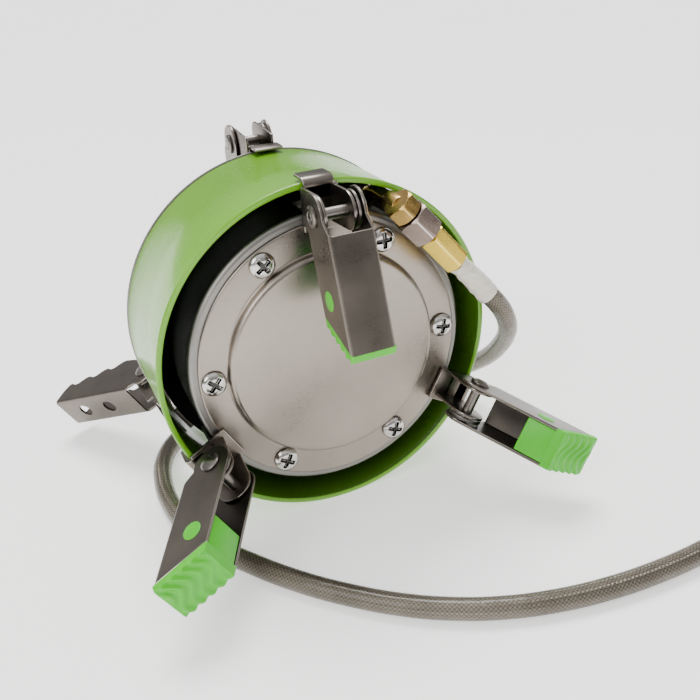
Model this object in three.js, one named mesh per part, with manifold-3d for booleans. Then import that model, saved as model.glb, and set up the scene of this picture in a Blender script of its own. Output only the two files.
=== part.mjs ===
// Folding camping stove with a braided gas hose and a remote valve.
// Millimetres, +Z up. The stove is modelled standing on its base (stove frame, base flange at z = 0)
// and then laid on its side, base towards -Y, the way it lies when it is put down half unfolded.

import * as THREE from 'three';
import { mergeVertices } from 'three/addons/utils/BufferGeometryUtils.js';
import Module from 'manifold-3d';

const wasm = await Module();
wasm.setup();

// ---------- driving dimensions ----------
const GAP = 0.3;                 // clearance left between touching pieces
const ROUND = 56;                // sides of the large turned pieces

// windscreen drum
const DRUM_R = 50;
const DRUM_WALL = 1.1;
const DRUM_H = 42.4;
const LIP_R = 50.5;              // rolled lower edge
const AXIS_HEIGHT = LIP_R;       // the drum rests on its lip when it lies on its side

// burner pan, base cover and burner
const PAN_R = 41.9;
const PAN_WALL = 0.9;
const PAN_TOP = 26;
const PAN_HOLE_R = 3.2;          // the gas pipe's hole and the air holes
const PAN_FLANGE_R = 46.8;
const AIR_HOLE_AZIMUTHS = [0, 60, 100];
const COVER_R = 39.4;
const COVER_DISC_R = 31.1;
const COVER_T = 0.6;
const COVER_PROUD = 3.3;
const SCREW_CIRCLE_R = 35.4;
const PLATE_R = 36.9;
const PLATE_TOP = 25.7;

// folding arms: the same hinge carries the legs below and the pot supports above
const ARM_HALF = 6.3;            // half width over the side plates
const SHEET = 0.8;
const ARM_DEPTH_BELOW = 5.9;     // open edge below the pivot
const PIN_R = 1.6;
const PIN_HOLE_R = 1.9;
const EAR_HALF = ARM_HALF - SHEET - GAP;
const EAR_R = 5.3;
const EAR_CORNER = 3;            // corner radius of the supports' squarer ears
const SPRING_LEN = 1.2;
const SPRING_EAR = EAR_HALF - SPRING_LEN - GAP; // outer face of the ear beside the spring

const LEG = { pivotR: 44.9, pivotZ: -12.1, web: 8.5, start: 5.4, end: 35.8, cut: 26.3 };
const FOOT_T = 2.6;
const PLUG = { u: 21.8, r: 2.7 };

const SUPPORT = { pivotR: 50.1, pivotZ: 58.3, web: 8.1, start: 4.5, end: 42.5 };
const TEETH = 4;
const TOOTH_PITCH = 8.55;
const TOOTH_RISE = 2.1;
const TOOTH_DEPTH = 1.1;

// azimuths in the stove frame, degrees, and opening angles at rest
const ARMS = [
  { tag: 'a', azimuth: -90, leg: 162.8, support: 174 },
  { tag: 'b', azimuth: 150, leg: 55.4, support: 47.9 },
  { tag: 'c', azimuth: 30, leg: 48, support: 174 },
];
const SCREW_AZIMUTHS = [-60, 0, 60, 120, 180, 240];

// gas inlet
const INLET = { r: 46.1, azimuth: -63.5, z: -8, run: 49.5, turn: -22 };
const PIPE_R = 2.4;
const PIPE_LEVEL = 14;

// hose and valve, in the lying frame with the drum's lower rim centre above x = y = 0
const HOSE_R = 3;
const HOSE_SIDES = 9;
const HOSE_STEPS = 78;
const VALVE = { x: 169.4, y: -14.8, heading: 50 };
const VALVE_AXIS_Z = 17.5;
const WIRE_R = 0.65;
const HANDLE_PIVOT = 5.5;        // the wire's pivot, from the knob's inner face
const COLLAR_R = 18.5;
const COLLAR_H = 11;
const KNOB_X = 19.6;             // inner face of the control knob, along the valve's axis

// puts the middle of the stove's own footprint on the origin
const SHIFT = { x: 3.92, y: -24.3 };

const HOSE_ROUTE = [
  [47.6, -8, 60.1], [50.4, -7.9, 56.8], [53.9, -6.6, 51.8], [57.1, -3.6, 45.9], [59.9, 1.6, 39.6],
  [62.2, 8.6, 32.6], [63.7, 16.8, 25.2], [64.2, 26, 18.2], [63.2, 35.4, 12], [59.4, 44.4, 7.4],
  [52.4, 52.6, 4.6], [43, 59.6, 3.4], [32, 64.8, 3.1], [20, 68, 3.1], [7, 69.6, 3.1],
  [-6, 69.4, 3.1], [-19, 67, 3.1], [-31, 62, 3.1], [-41, 54, 3.1], [-47.4, 43.6, 3.1],
  [-50.4, 31.6, 3.1], [-51, 19, 3.1], [-49.4, 6, 3.1], [-44.9, -7, 3.1], [-37.4, -20, 3.1],
  [-28, -33.5, 3.1], [-18, -44.8, 3.1], [-7.6, -54.3, 3.1], [3.4, -61.9, 3.1], [15.2, -67.7, 3.1],
  [28, -71.8, 3.1], [41.8, -74.3, 3.1], [57, -75.3, 3.1], [73.2, -74.7, 3.1], [88, -72.7, 3.2],
  [102, -69.4, 4.4], [115, -64.4, 7.2], [127, -57.6, 11.2], [137.5, -49.6, 15],
  [146.8, -41.7, 17.4], [149.1, -39, 17.5],
];

// ---------- materials ----------
function finish(colour, roughness, metalness) {
  return new THREE.MeshStandardMaterial({ color: colour, roughness, metalness });
}
const MATERIALS = {
  greenPaint: () => finish(0x7cb43c, 0.25, 0.1),
  greenNylon: () => finish(0x78d246, 0.45, 0),
  satinSteel: () => finish(0xb4aaa0, 0.35, 1),
  darkSteel: () => finish(0x6b655c, 0.4, 1),
  brightSteel: () => finish(0xcfcac4, 0.2, 1),
  brass: () => finish(0xd9b968, 0.25, 1),
  nickel: () => finish(0xb8b2a8, 0.3, 1),
  braid: () => finish(0x99948a, 0.45, 0.9),
  sleeve: () => finish(0xd8d6cf, 0.4, 0.3),
  aluminium: () => finish(0xc4c6c8, 0.35, 1),
  rubber: () => finish(0x1c1c1c, 0.8, 0),
  mesh: () => finish(0x5a5650, 0.6, 1),
};

// ---------- geometry helpers ----------
function outward(geometry) {
  const g = weld(geometry);
  const p = g.attributes.position;
  const index = g.index.array;
  const a = new THREE.Vector3();
  const b = new THREE.Vector3();
  const c = new THREE.Vector3();
  let volume = 0;
  for (let i = 0; i < index.length; i += 3) {
    a.fromBufferAttribute(p, index[i]);
    b.fromBufferAttribute(p, index[i + 1]);
    c.fromBufferAttribute(p, index[i + 2]);
    volume += a.dot(b.cross(c));
  }
  if (volume < 0) {
    for (let i = 0; i < index.length; i += 3) {
      [index[i], index[i + 1]] = [index[i + 1], index[i]];
    }
  }
  return g;
}

function weld(geometry) {
  const g = geometry.clone();
  g.deleteAttribute('normal');
  g.deleteAttribute('uv');
  const welded = mergeVertices(g, 1e-4);
  const index = welded.index.array;
  const kept = [];
  for (let i = 0; i < index.length; i += 3) {
    const [a, b, c] = [index[i], index[i + 1], index[i + 2]];
    if (a !== b && b !== c && c !== a) kept.push(a, b, c);
  }
  welded.setIndex(kept);
  return welded;
}

function toSolid(geometry) {
  const g = outward(geometry);
  const vertProperties = new Float32Array(g.attributes.position.array);
  const triVerts = new Uint32Array(g.index.array);
  return new wasm.Manifold(new wasm.Mesh({ numProp: 3, vertProperties, triVerts }));
}

function toGeometry(solid) {
  const mesh = solid.getMesh();
  const geometry = new THREE.BufferGeometry();
  const vertices = new Float32Array(mesh.vertProperties);
  geometry.setAttribute('position', new THREE.BufferAttribute(vertices, 3));
  geometry.setIndex(new THREE.BufferAttribute(new Uint32Array(mesh.triVerts), 1));
  return geometry;
}

function joined(...geometries) {
  return toGeometry(geometries.map(toSolid).reduce((whole, piece) => whole.add(piece)));
}

function cut(geometry, ...tools) {
  return toGeometry(tools.map(toSolid).reduce((whole, tool) => whole.subtract(tool), toSolid(geometry)));
}

// a box given by its lowest and highest corners
function box(x0, x1, y0, y1, z0, z1) {
  const g = new THREE.BoxGeometry(x1 - x0, y1 - y0, z1 - z0);
  return g.translate((x0 + x1) / 2, (y0 + y1) / 2, (z0 + z1) / 2);
}

// a closed or axis-to-axis profile [radius, height] turned about Z
function turned(profile, segments) {
  const points = profile.map(([r, z]) => new THREE.Vector2(r, z));
  return outward(new THREE.LatheGeometry(points, segments).rotateX(Math.PI / 2));
}

// a flat shape drawn in (x, z), from y0 to y1
function plateXZ(shape, y0, y1, curveSegments = 5) {
  const { shape: outline, holes } = shape.extractPoints(curveSegments);
  if (THREE.ShapeUtils.isClockWise(outline)) outline.reverse();
  const flat = new THREE.Shape(outline);
  flat.holes = holes.map((points) => new THREE.Path(points));
  const g = new THREE.ExtrudeGeometry(flat, { depth: y1 - y0, bevelEnabled: false });
  return g.translate(0, 0, -y1).rotateX(Math.PI / 2);
}

function cylinderZ(radius, z0, z1, segments) {
  return turned([[0, z0], [radius, z0], [radius, z1], [0, z1]], segments);
}

function cylinderY(radius, y0, y1, segments) {
  return cylinderZ(radius, y0, y1, segments).rotateX(-Math.PI / 2);
}

function cylinderX(radius, x0, x1, segments) {
  return cylinderZ(radius, x0, x1, segments).rotateY(Math.PI / 2);
}

function hexX(acrossFlats, x0, x1) {
  const corner = acrossFlats / Math.sqrt(3);
  const chamfer = corner * 0.12;
  const profile = [
    [0, x0], [corner - chamfer, x0], [corner, x0 + chamfer],
    [corner, x1 - chamfer], [corner - chamfer, x1], [0, x1],
  ];
  return turned(profile, 6).rotateY(Math.PI / 2);
}

function named(name, geometry, material) {
  const mesh = new THREE.Mesh(geometry, material());
  mesh.name = name;
  return mesh;
}

// a group turned about the stove's axis, in which x is radial and y tangential
function atAzimuth(degrees) {
  const group = new THREE.Group();
  group.rotation.z = THREE.MathUtils.degToRad(degrees);
  return group;
}

// ---------- windscreen, pan, base ----------
function windscreenDrum() {
  const inner = DRUM_R - DRUM_WALL;
  return turned([
    [inner, 0], [DRUM_R + 0.1, 0], [LIP_R, 0.5], [LIP_R, 1.3], [DRUM_R, 2.0],
    [DRUM_R, DRUM_H], [inner, DRUM_H], [inner, 0],
  ], ROUND);
}

function trimRing() {
  const bottom = DRUM_H + GAP;
  return turned([
    [48.6, bottom], [50.3, bottom], [50.3, bottom + 0.8], [48.6, bottom + 0.8], [48.6, bottom],
  ], ROUND);
}

function burnerPan() {
  const inner = PAN_R - PAN_WALL;
  const pan = turned([
    [33.6, GAP], [PAN_R, GAP], [PAN_R, PAN_TOP - PAN_WALL], [PAN_FLANGE_R, PAN_TOP - PAN_WALL],
    [PAN_FLANGE_R, PAN_TOP], [37.3, PAN_TOP], [37.3, PAN_TOP - PAN_WALL],
    [inner, PAN_TOP - PAN_WALL], [inner, GAP + 1], [33.6, GAP + 1], [33.6, GAP],
  ], 44);
  const holes = [INLET.azimuth, ...AIR_HOLE_AZIMUTHS].map((azimuth) => {
    const hole = cylinderX(PAN_HOLE_R, 38, 44, 10).translate(0, 0, PIPE_LEVEL);
    return hole.rotateZ(THREE.MathUtils.degToRad(azimuth));
  });
  return cut(pan, ...holes);
}

function baseCover() {
  return turned([
    [0, -COVER_PROUD], [COVER_DISC_R - 1.7, -COVER_PROUD], [COVER_DISC_R - 0.6, -COVER_PROUD + 0.4],
    [COVER_DISC_R, -COVER_PROUD + 1.3], [COVER_DISC_R + 0.3, -COVER_T], [COVER_R, -COVER_T],
    [COVER_R, 0], [COVER_DISC_R - 0.3, 0], [COVER_DISC_R - 0.7, -COVER_PROUD + 1.5],
    [COVER_DISC_R - 1.8, -COVER_PROUD + COVER_T], [0, -COVER_PROUD + COVER_T],
  ], 48);
}

function baseScrew() {
  const seat = -COVER_T - GAP;
  return turned([
    [0, seat - 1.6], [2.4, seat - 1.4], [3.4, seat - 0.8], [3.7, seat], [0, seat],
  ], 14);
}

// ---------- burner ----------
function burnerPlate() {
  return cylinderZ(PLATE_R, PLATE_TOP - 0.8, PLATE_TOP, 40);
}

function flameMesh() {
  const top = PLATE_TOP - 0.8 - GAP;
  return cylinderZ(PLATE_R - 1, top - 0.6, top, 32);
}

function burnerCap() {
  const seat = PLATE_TOP + GAP;
  return turned([
    [0, seat], [14.5, seat], [15, seat + 0.8], [12, seat + 2.6], [6, seat + 3.6], [0, seat + 3.8],
  ], 28);
}

function capScrew() {
  const seat = PLATE_TOP + GAP + 3.8 + GAP;
  return turned([[0, seat], [3, seat], [3, seat + 0.8], [1.8, seat + 1.6], [0, seat + 1.8]], 12);
}

function inletPipe() {
  const bend = 6;
  const path = new THREE.CurvePath();
  const top = new THREE.Vector3(INLET.r, 0, -1 + GAP);
  const bendStart = new THREE.Vector3(INLET.r, 0, PIPE_LEVEL - bend);
  const corner = new THREE.Vector3(INLET.r, 0, PIPE_LEVEL);
  const bendEnd = new THREE.Vector3(INLET.r - bend, 0, PIPE_LEVEL);
  const end = new THREE.Vector3(31, 0, PIPE_LEVEL);
  path.add(new THREE.LineCurve3(top, bendStart));
  path.add(new THREE.QuadraticBezierCurve3(bendStart, corner, bendEnd));
  path.add(new THREE.LineCurve3(bendEnd, end));
  return outward(sweep(path, PIPE_R, 10, 16));
}

function jetHolder() {
  return hexX(8, 24.2, 31 - GAP).translate(0, 0, PIPE_LEVEL);
}

function gasJet() {
  const profile = [[0, 20], [0.9, 20], [2.2, 22], [2.2, 24.2 - GAP], [0, 24.2 - GAP]];
  return turned(profile, 10).rotateY(Math.PI / 2).translate(0, 0, PIPE_LEVEL);
}

function mixingTube() {
  const profile = [
    [5.4, -14], [6.3, -14], [6.3, 16], [8, 19.5], [7.1, 19.5], [5.4, 16], [5.4, -14],
  ];
  return turned(profile, 20).rotateY(Math.PI / 2).translate(0, 0, PIPE_LEVEL);
}

// a round tube along a path
function sweep(path, radius, sides, steps) {
  const section = new THREE.Shape();
  for (let i = 0; i < sides; i += 1) {
    const angle = (i / sides) * 2 * Math.PI;
    const x = radius * Math.cos(angle);
    const y = radius * Math.sin(angle);
    if (i === 0) section.moveTo(x, y);
    else section.lineTo(x, y);
  }
  section.closePath();
  return new THREE.ExtrudeGeometry(section, { steps, bevelEnabled: false, extrudePath: path });
}

// ---------- inlet fittings, x along the hose run ----------
function inletHex(acrossFlats, x0, x1) {
  return hexX(acrossFlats, x0, x1).rotateX(THREE.MathUtils.degToRad(INLET.turn));
}

function inletElbow() {
  return joined(inletHex(8.3, -2.4, 3 - GAP), cylinderZ(3, 0, -1 - INLET.z, 12));
}

function hoseConnector() {
  return joined(inletHex(7.7, 11.4 + GAP, 24.7), cylinderX(3.1, 24, 25, 16));
}

function crimpSleeve(x0, x1) {
  const profile = [
    [0, x0], [3.3, x0], [3.4, x0 + 1.4], [3.1, x0 + 2.2],
    [3.35, x0 + 3.2], [3.35, x1 - 1], [3.1, x1], [0, x1],
  ];
  return turned(profile, 18).rotateY(Math.PI / 2);
}

// ---------- folding arms: u = x away from the pivot, v = z towards the web ----------
function roundHole(x, z, radius) {
  const hole = new THREE.Path();
  hole.absarc(x, z, radius, 0, 2 * Math.PI, true);
  return hole;
}

// goes round the pivot end of a side plate, from the web's start to the open edge
function roundPivotEnd(shape, startU, webV) {
  shape.lineTo(startU, webV);
  shape.absarc(0, 0, ARM_DEPTH_BELOW, THREE.MathUtils.degToRad(75), 1.5 * Math.PI, false);
}

function legSidePlate(y0, y1) {
  const shape = new THREE.Shape();
  shape.moveTo(LEG.cut, -ARM_DEPTH_BELOW);
  shape.lineTo(LEG.end, LEG.web);
  roundPivotEnd(shape, LEG.start, LEG.web);
  shape.closePath();
  shape.holes.push(roundHole(0, 0, PIN_HOLE_R), roundHole(PLUG.u, 0, PLUG.r + GAP));
  return plateXZ(shape, y0, y1);
}

function legChannel() {
  const web = box(LEG.start, LEG.end - 0.5, -ARM_HALF, ARM_HALF, LEG.web - SHEET, LEG.web);
  return joined(
    web,
    legSidePlate(ARM_HALF - SHEET, ARM_HALF),
    legSidePlate(-ARM_HALF, SHEET - ARM_HALF),
  );
}

// a point s along the channel's slanted end, n outside it
function onSlant(s, n) {
  const run = new THREE.Vector2(LEG.end - LEG.cut, LEG.web + ARM_DEPTH_BELOW).normalize();
  return new THREE.Vector2(LEG.cut + s * run.x + n * run.y, -ARM_DEPTH_BELOW + s * run.y - n * run.x);
}

function polygonShape(points) {
  const shape = new THREE.Shape();
  points.forEach((point, i) => {
    if (i === 0) shape.moveTo(point.x, point.y);
    else shape.lineTo(point.x, point.y);
  });
  shape.closePath();
  return shape;
}

function legFoot() {
  const inside = ARM_HALF - SHEET - GAP;
  const slantLength = Math.hypot(LEG.end - LEG.cut, LEG.web + ARM_DEPTH_BELOW);
  const top = LEG.web - SHEET - GAP;
  const insert = polygonShape([
    new THREE.Vector2(17.6, -ARM_DEPTH_BELOW + GAP), onSlant(0.3, 1), onSlant(slantLength - 1.6, 1),
    new THREE.Vector2(34.6, top), new THREE.Vector2(17.6, top),
  ]);
  const flush = (LEG.end - LEG.cut) / (LEG.web + ARM_DEPTH_BELOW);
  const sole = polygonShape([
    onSlant(flush * GAP, GAP), onSlant(flush * FOOT_T, FOOT_T), onSlant(slantLength, FOOT_T),
    onSlant(slantLength, GAP),
  ]);
  return joined(
    plateXZ(insert, -inside, inside),
    plateXZ(sole, -ARM_HALF, ARM_HALF),
    cylinderY(PLUG.r, -ARM_HALF, ARM_HALF, 16).translate(PLUG.u, 0, 0),
  );
}

// the support is the same hinge turned over: web below, serrated edges above
function supportSidePlate(y0, y1) {
  const shape = new THREE.Shape();
  const base = -SUPPORT.web;
  shape.moveTo(SUPPORT.end, base);
  shape.lineTo(SUPPORT.end - 0.8, base + 5.2);
  const tipPeak = new THREE.Vector2(SUPPORT.end - 3.4, base + 8.7);
  shape.lineTo(tipPeak.x + 1.2, tipPeak.y - 0.5);
  shape.lineTo(tipPeak.x, tipPeak.y);
  for (let tooth = 0; tooth < TEETH - 1; tooth += 1) {
    const u = tipPeak.x - tooth * TOOTH_PITCH;
    const v = tipPeak.y + tooth * TOOTH_RISE;
    shape.lineTo(u - 2, v - TOOTH_DEPTH * 0.7);
    shape.lineTo(u - 3.6, v - TOOTH_DEPTH * 0.5);
    shape.lineTo(u - TOOTH_PITCH + 1.8, v + TOOTH_RISE - 0.5);
    shape.lineTo(u - TOOTH_PITCH, v + TOOTH_RISE);
  }
  shape.lineTo(9.5, ARM_DEPTH_BELOW + 0.6);
  shape.lineTo(6.5, ARM_DEPTH_BELOW);
  shape.absarc(0, 0, ARM_DEPTH_BELOW, Math.PI / 2, THREE.MathUtils.degToRad(285), false);
  shape.lineTo(SUPPORT.start, base);
  shape.closePath();
  shape.holes.push(roundHole(0, 0, PIN_HOLE_R));
  return plateXZ(shape, y0, y1);
}

function supportChannel() {
  const web = box(SUPPORT.start, SUPPORT.end - 0.2, -ARM_HALF, ARM_HALF, -SUPPORT.web, SHEET - SUPPORT.web);
  const holes = [18.5, 31.5].map((u) => {
    const hole = cylinderZ(2.6, -SUPPORT.web - 1, 1 - SUPPORT.web, 14);
    return hole.translate(u, 0, 0);
  });
  return joined(
    cut(web, ...holes),
    supportSidePlate(ARM_HALF - SHEET, ARM_HALF),
    supportSidePlate(-ARM_HALF, SHEET - ARM_HALF),
  );
}

function hingePin() {
  const side = ARM_HALF + GAP;
  const head = 2.9;
  return turned([
    [0, -side - 0.8], [head - 0.5, -side - 0.8], [head, -side - 0.4], [head, -side], [PIN_R, -side],
    [PIN_R, side], [head, side], [head, side + 0.4], [head - 0.5, side + 0.8], [0, side + 0.8],
  ], 12).rotateX(-Math.PI / 2);
}

function torsionSpring() {
  const start = SPRING_EAR + GAP;
  const wire = SPRING_LEN / 2;
  const profile = [
    [2.1, start], [4.9, start], [5.2, start + wire / 2], [4.9, start + wire],
    [5.2, start + wire * 1.5], [4.9, start + SPRING_LEN], [2.1, start + SPRING_LEN], [2.1, start],
  ];
  return turned(profile, 14).rotateX(-Math.PI / 2);
}

// ---------- brackets: sheet bent over the drum's edge, with two ears for the pin ----------
function earPair(outline, pin) {
  const bore = cylinderY(PIN_HOLE_R, -ARM_HALF, ARM_HALF, 12).translate(pin.pivotR, 0, pin.pivotZ);
  return [SPRING_EAR - SHEET, -EAR_HALF].map((y) => cut(plateXZ(outline, y, y + SHEET), bore));
}

function legEars(root) {
  const shape = new THREE.Shape();
  shape.moveTo(39, root);
  shape.lineTo(49.8, root);
  shape.absarc(LEG.pivotR, LEG.pivotZ, EAR_R, 0, -Math.PI, true);
  shape.closePath();
  return earPair(shape, LEG);
}

function supportEars(root) {
  const inset = EAR_R - EAR_CORNER;
  const top = SUPPORT.pivotZ + inset;
  const shape = new THREE.Shape();
  shape.moveTo(SUPPORT.pivotR - EAR_R + 0.5, root);
  shape.lineTo(SUPPORT.pivotR + EAR_R - 1, root);
  shape.absarc(SUPPORT.pivotR + inset, top, EAR_CORNER, 0, Math.PI / 2, false);
  shape.absarc(SUPPORT.pivotR - inset, top, EAR_CORNER, Math.PI / 2, Math.PI, false);
  shape.closePath();
  return earPair(shape, SUPPORT);
}

function legBracket() {
  const zTop = -COVER_T - GAP;
  const zBottom = zTop - 1;
  const tab = 4.3;
  return joined(
    box(37.5, 51.9, -EAR_HALF, EAR_HALF, zBottom, zTop),
    box(LIP_R + 0.5, 51.9, -tab, tab, zBottom, 5.5),
    box(PAN_R + 0.3, PAN_R + 1.2, -tab, tab, zBottom, 9),
    ...legEars(zTop - 0.2),
  );
}

function supportBracket() {
  const rim = DRUM_H + GAP + 0.8;
  const bottom = rim + GAP;
  const top = bottom + 0.9;
  const tab = 4.3;
  const strapX = 47.2;
  return joined(
    box(46.2, 51.9, -EAR_HALF, EAR_HALF, bottom, top),
    box(LIP_R + 0.3, 51.9, -tab, tab, rim - 6, top),
    box(strapX, strapX + 0.9, -tab, tab, PAN_TOP + GAP, top),
    box(38.6, strapX + 0.9, -tab, tab, PAN_TOP + GAP, PAN_TOP + GAP + 0.9),
    ...supportEars(bottom + 0.2),
  );
}

// ---------- valve, standing on its canister collar; x along the hose ----------
function valveBody() {
  const barrel = turned([
    [0, COLLAR_H + GAP], [8.5, COLLAR_H + GAP], [8.5, 14], [7.4, 15], [7.4, 23], [6, 24.5], [0, 24.5],
  ], 24);
  const inlet = cylinderX(4.6, -12.6, 0, 16).translate(0, 0, VALVE_AXIS_Z);
  const bonnet = hexX(9, 0, 11).translate(0, 0, VALVE_AXIS_Z);
  return joined(barrel, inlet, bonnet);
}

function valveNut() {
  return hexX(11, -19, -12.6 - GAP).translate(0, 0, VALVE_AXIS_Z);
}

function canisterCollar() {
  return turned([
    [8.6, COLLAR_H], [COLLAR_R - 1, COLLAR_H], [COLLAR_R, COLLAR_H - 1], [COLLAR_R, 0],
    [COLLAR_R - 1.6, 0], [COLLAR_R - 1.6, COLLAR_H - 2], [8.6, COLLAR_H - 2], [8.6, COLLAR_H],
  ], 36);
}

function canisterSocket() {
  return turned([[5.7, 1.5], [8.2, 1.5], [8.2, COLLAR_H], [5.7, COLLAR_H], [5.7, 1.5]], 24);
}

function canisterSeal() {
  return turned([[2.6, 9.6], [4.9, 9.6], [5.2, 10.2], [4.9, 10.8], [2.6, 10.8], [2.3, 10.2], [2.6, 9.6]], 16);
}

function valveStem() {
  return cylinderX(1.8, 11 + GAP, KNOB_X - GAP, 12).translate(0, 0, VALVE_AXIS_Z);
}

function controlKnob() {
  const profile = [
    [0, KNOB_X], [6.2, KNOB_X], [6.8, KNOB_X + 0.7],
    [6.8, KNOB_X + 7.1], [6, KNOB_X + 7.9], [0, KNOB_X + 7.9],
  ];
  const knob = turned(profile, 18).rotateY(Math.PI / 2);
  const slot = box(KNOB_X + 3.1, KNOB_X + 9, -2, 2, -8, 8);
  const bore = cylinderY(WIRE_R + GAP, -8, 8, 8).translate(KNOB_X + HANDLE_PIVOT, 0, 0);
  return cut(knob, slot, bore).translate(0, 0, VALVE_AXIS_Z);
}

// a bent wire whose two ends plug into the knob's cross bore
function controlHandle() {
  const inside = 4.2;
  const outside = 8;
  const pivot = KNOB_X + HANDLE_PIVOT;
  const corners = [
    [pivot, inside, 0], [pivot, outside - 1.4, 0], [pivot + 1.6, outside + 0.3, 0], [pivot + 12, 7.4, 0],
    [pivot + 21, 5.6, 0], [pivot + 23.6, 0, 0], [pivot + 21, -5.6, 0], [pivot + 12, -7.4, 0],
    [pivot + 1.6, -outside - 0.3, 0], [pivot, 1.4 - outside, 0], [pivot, -inside, 0],
  ].map(([x, y, z]) => new THREE.Vector3(x, y, z));
  const path = new THREE.CatmullRomCurve3(corners);
  return outward(sweep(path, WIRE_R, 8, 26)).translate(0, 0, VALVE_AXIS_Z);
}

// ---------- assembly ----------
function buildBase(stove) {
  stove.add(named('windscreen_drum', windscreenDrum(), MATERIALS.greenPaint));
  stove.add(named('top_trim_ring', trimRing(), MATERIALS.satinSteel));
  stove.add(named('burner_pan', burnerPan(), MATERIALS.satinSteel));
  stove.add(named('base_cover', baseCover(), MATERIALS.satinSteel));
  SCREW_AZIMUTHS.forEach((azimuth, i) => {
    const place = atAzimuth(azimuth);
    const screw = named(`base_screw_${i + 1}`, baseScrew(), MATERIALS.brightSteel);
    screw.position.x = SCREW_CIRCLE_R;
    place.add(screw);
    stove.add(place);
  });
}

function buildBurner(stove) {
  stove.add(named('burner_plate', burnerPlate(), MATERIALS.mesh));
  stove.add(named('flame_mesh', flameMesh(), MATERIALS.mesh));
  stove.add(named('burner_cap', burnerCap(), MATERIALS.satinSteel));
  stove.add(named('burner_cap_screw', capScrew(), MATERIALS.brightSteel));
  const gas = atAzimuth(INLET.azimuth);
  gas.add(named('inlet_pipe', inletPipe(), MATERIALS.brass));
  gas.add(named('jet_holder', jetHolder(), MATERIALS.brass));
  gas.add(named('gas_jet', gasJet(), MATERIALS.brass));
  gas.add(named('mixing_tube', mixingTube(), MATERIALS.satinSteel));
  stove.add(gas);
}

function buildArms(stove) {
  ARMS.forEach(({ tag, azimuth, leg, support }) => {
    const place = atAzimuth(azimuth);
    place.add(named(`leg_bracket_${tag}`, legBracket(), MATERIALS.darkSteel));
    place.add(named(`support_bracket_${tag}`, supportBracket(), MATERIALS.darkSteel));
    [['leg', LEG], ['support', SUPPORT]].forEach(([kind, size]) => {
      const hinge = new THREE.Group();
      hinge.position.set(size.pivotR, 0, size.pivotZ);
      hinge.add(named(`${kind}_pin_${tag}`, hingePin(), MATERIALS.brightSteel));
      hinge.add(named(`${kind}_spring_${tag}`, torsionSpring(), MATERIALS.brightSteel));
      place.add(hinge);
    });
    const legArm = new THREE.Group();
    legArm.position.set(LEG.pivotR, 0, LEG.pivotZ);
    legArm.rotation.y = THREE.MathUtils.degToRad(leg);
    legArm.add(named(`leg_channel_${tag}`, legChannel(), MATERIALS.darkSteel));
    legArm.add(named(`leg_foot_${tag}`, legFoot(), MATERIALS.greenNylon));
    place.add(legArm);
    const supportArm = new THREE.Group();
    supportArm.position.set(SUPPORT.pivotR, 0, SUPPORT.pivotZ);
    supportArm.rotation.y = THREE.MathUtils.degToRad(-support);
    supportArm.add(named(`pot_support_${tag}`, supportChannel(), MATERIALS.darkSteel));
    place.add(supportArm);
    stove.add(place);
  });
}

function buildInlet(stove) {
  const inlet = new THREE.Group();
  const azimuth = THREE.MathUtils.degToRad(INLET.azimuth);
  inlet.position.set(INLET.r * Math.cos(azimuth), INLET.r * Math.sin(azimuth), INLET.z);
  inlet.rotation.z = THREE.MathUtils.degToRad(INLET.run);
  inlet.add(named('inlet_elbow', inletElbow(), MATERIALS.brass));
  inlet.add(named('inlet_nut', inletHex(9.3, 3, 11.4), MATERIALS.nickel));
  inlet.add(named('hose_connector', hoseConnector(), MATERIALS.brass));
  inlet.add(named('hose_crimp_sleeve', crimpSleeve(25 + GAP, 41.3), MATERIALS.sleeve));
  stove.add(inlet);
}

function buildHose(lying) {
  const route = new THREE.CatmullRomCurve3(HOSE_ROUTE.map(([x, y, z]) => new THREE.Vector3(x, y, z)));
  lying.add(named('gas_hose', outward(sweep(route, HOSE_R, HOSE_SIDES, HOSE_STEPS)), MATERIALS.braid));
}

function buildValve(lying) {
  const valve = new THREE.Group();
  valve.position.set(VALVE.x, VALVE.y, 0);
  valve.rotation.z = THREE.MathUtils.degToRad(VALVE.heading);
  const sleeve = crimpSleeve(19 + GAP, 31).rotateZ(Math.PI).translate(0, 0, VALVE_AXIS_Z);
  valve.add(named('valve_crimp_sleeve', sleeve, MATERIALS.sleeve));
  valve.add(named('valve_nut', valveNut(), MATERIALS.brass));
  valve.add(named('valve_body', valveBody(), MATERIALS.brass));
  valve.add(named('canister_collar', canisterCollar(), MATERIALS.aluminium));
  valve.add(named('canister_socket', canisterSocket(), MATERIALS.brass));
  valve.add(named('canister_seal', canisterSeal(), MATERIALS.rubber));
  valve.add(named('valve_stem', valveStem(), MATERIALS.brightSteel));
  valve.add(named('control_knob', controlKnob(), MATERIALS.aluminium));
  valve.add(named('control_handle', controlHandle(), MATERIALS.brightSteel));
  lying.add(valve);
}

const lying = new THREE.Group();
lying.position.set(SHIFT.x, SHIFT.y, 0);

const stove = new THREE.Group();
stove.rotation.x = -Math.PI / 2;
stove.position.z = AXIS_HEIGHT;
buildBase(stove);
buildBurner(stove);
buildArms(stove);
buildInlet(stove);
lying.add(stove);

buildHose(lying);
buildValve(lying);

export default lying;
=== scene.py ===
# %% [markdown]
# # A folding camping stove
#
# This lesson builds the looks of a small gas stove around a frame that is already measured.
# The stove lies on its side, half unfolded: a green windscreen drum, three legs, three pot
# supports, brass fittings and a braided hose. The frame gives every place in metres, so a new
# piece only has to be modelled in its own simple frame and then moved by one matrix.

# %% Load the frame
from math import atan2, copysign, cos, hypot, pi, radians, sin

import bmesh
import bpy
import numpy as np
from mathutils import Matrix, Vector


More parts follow.
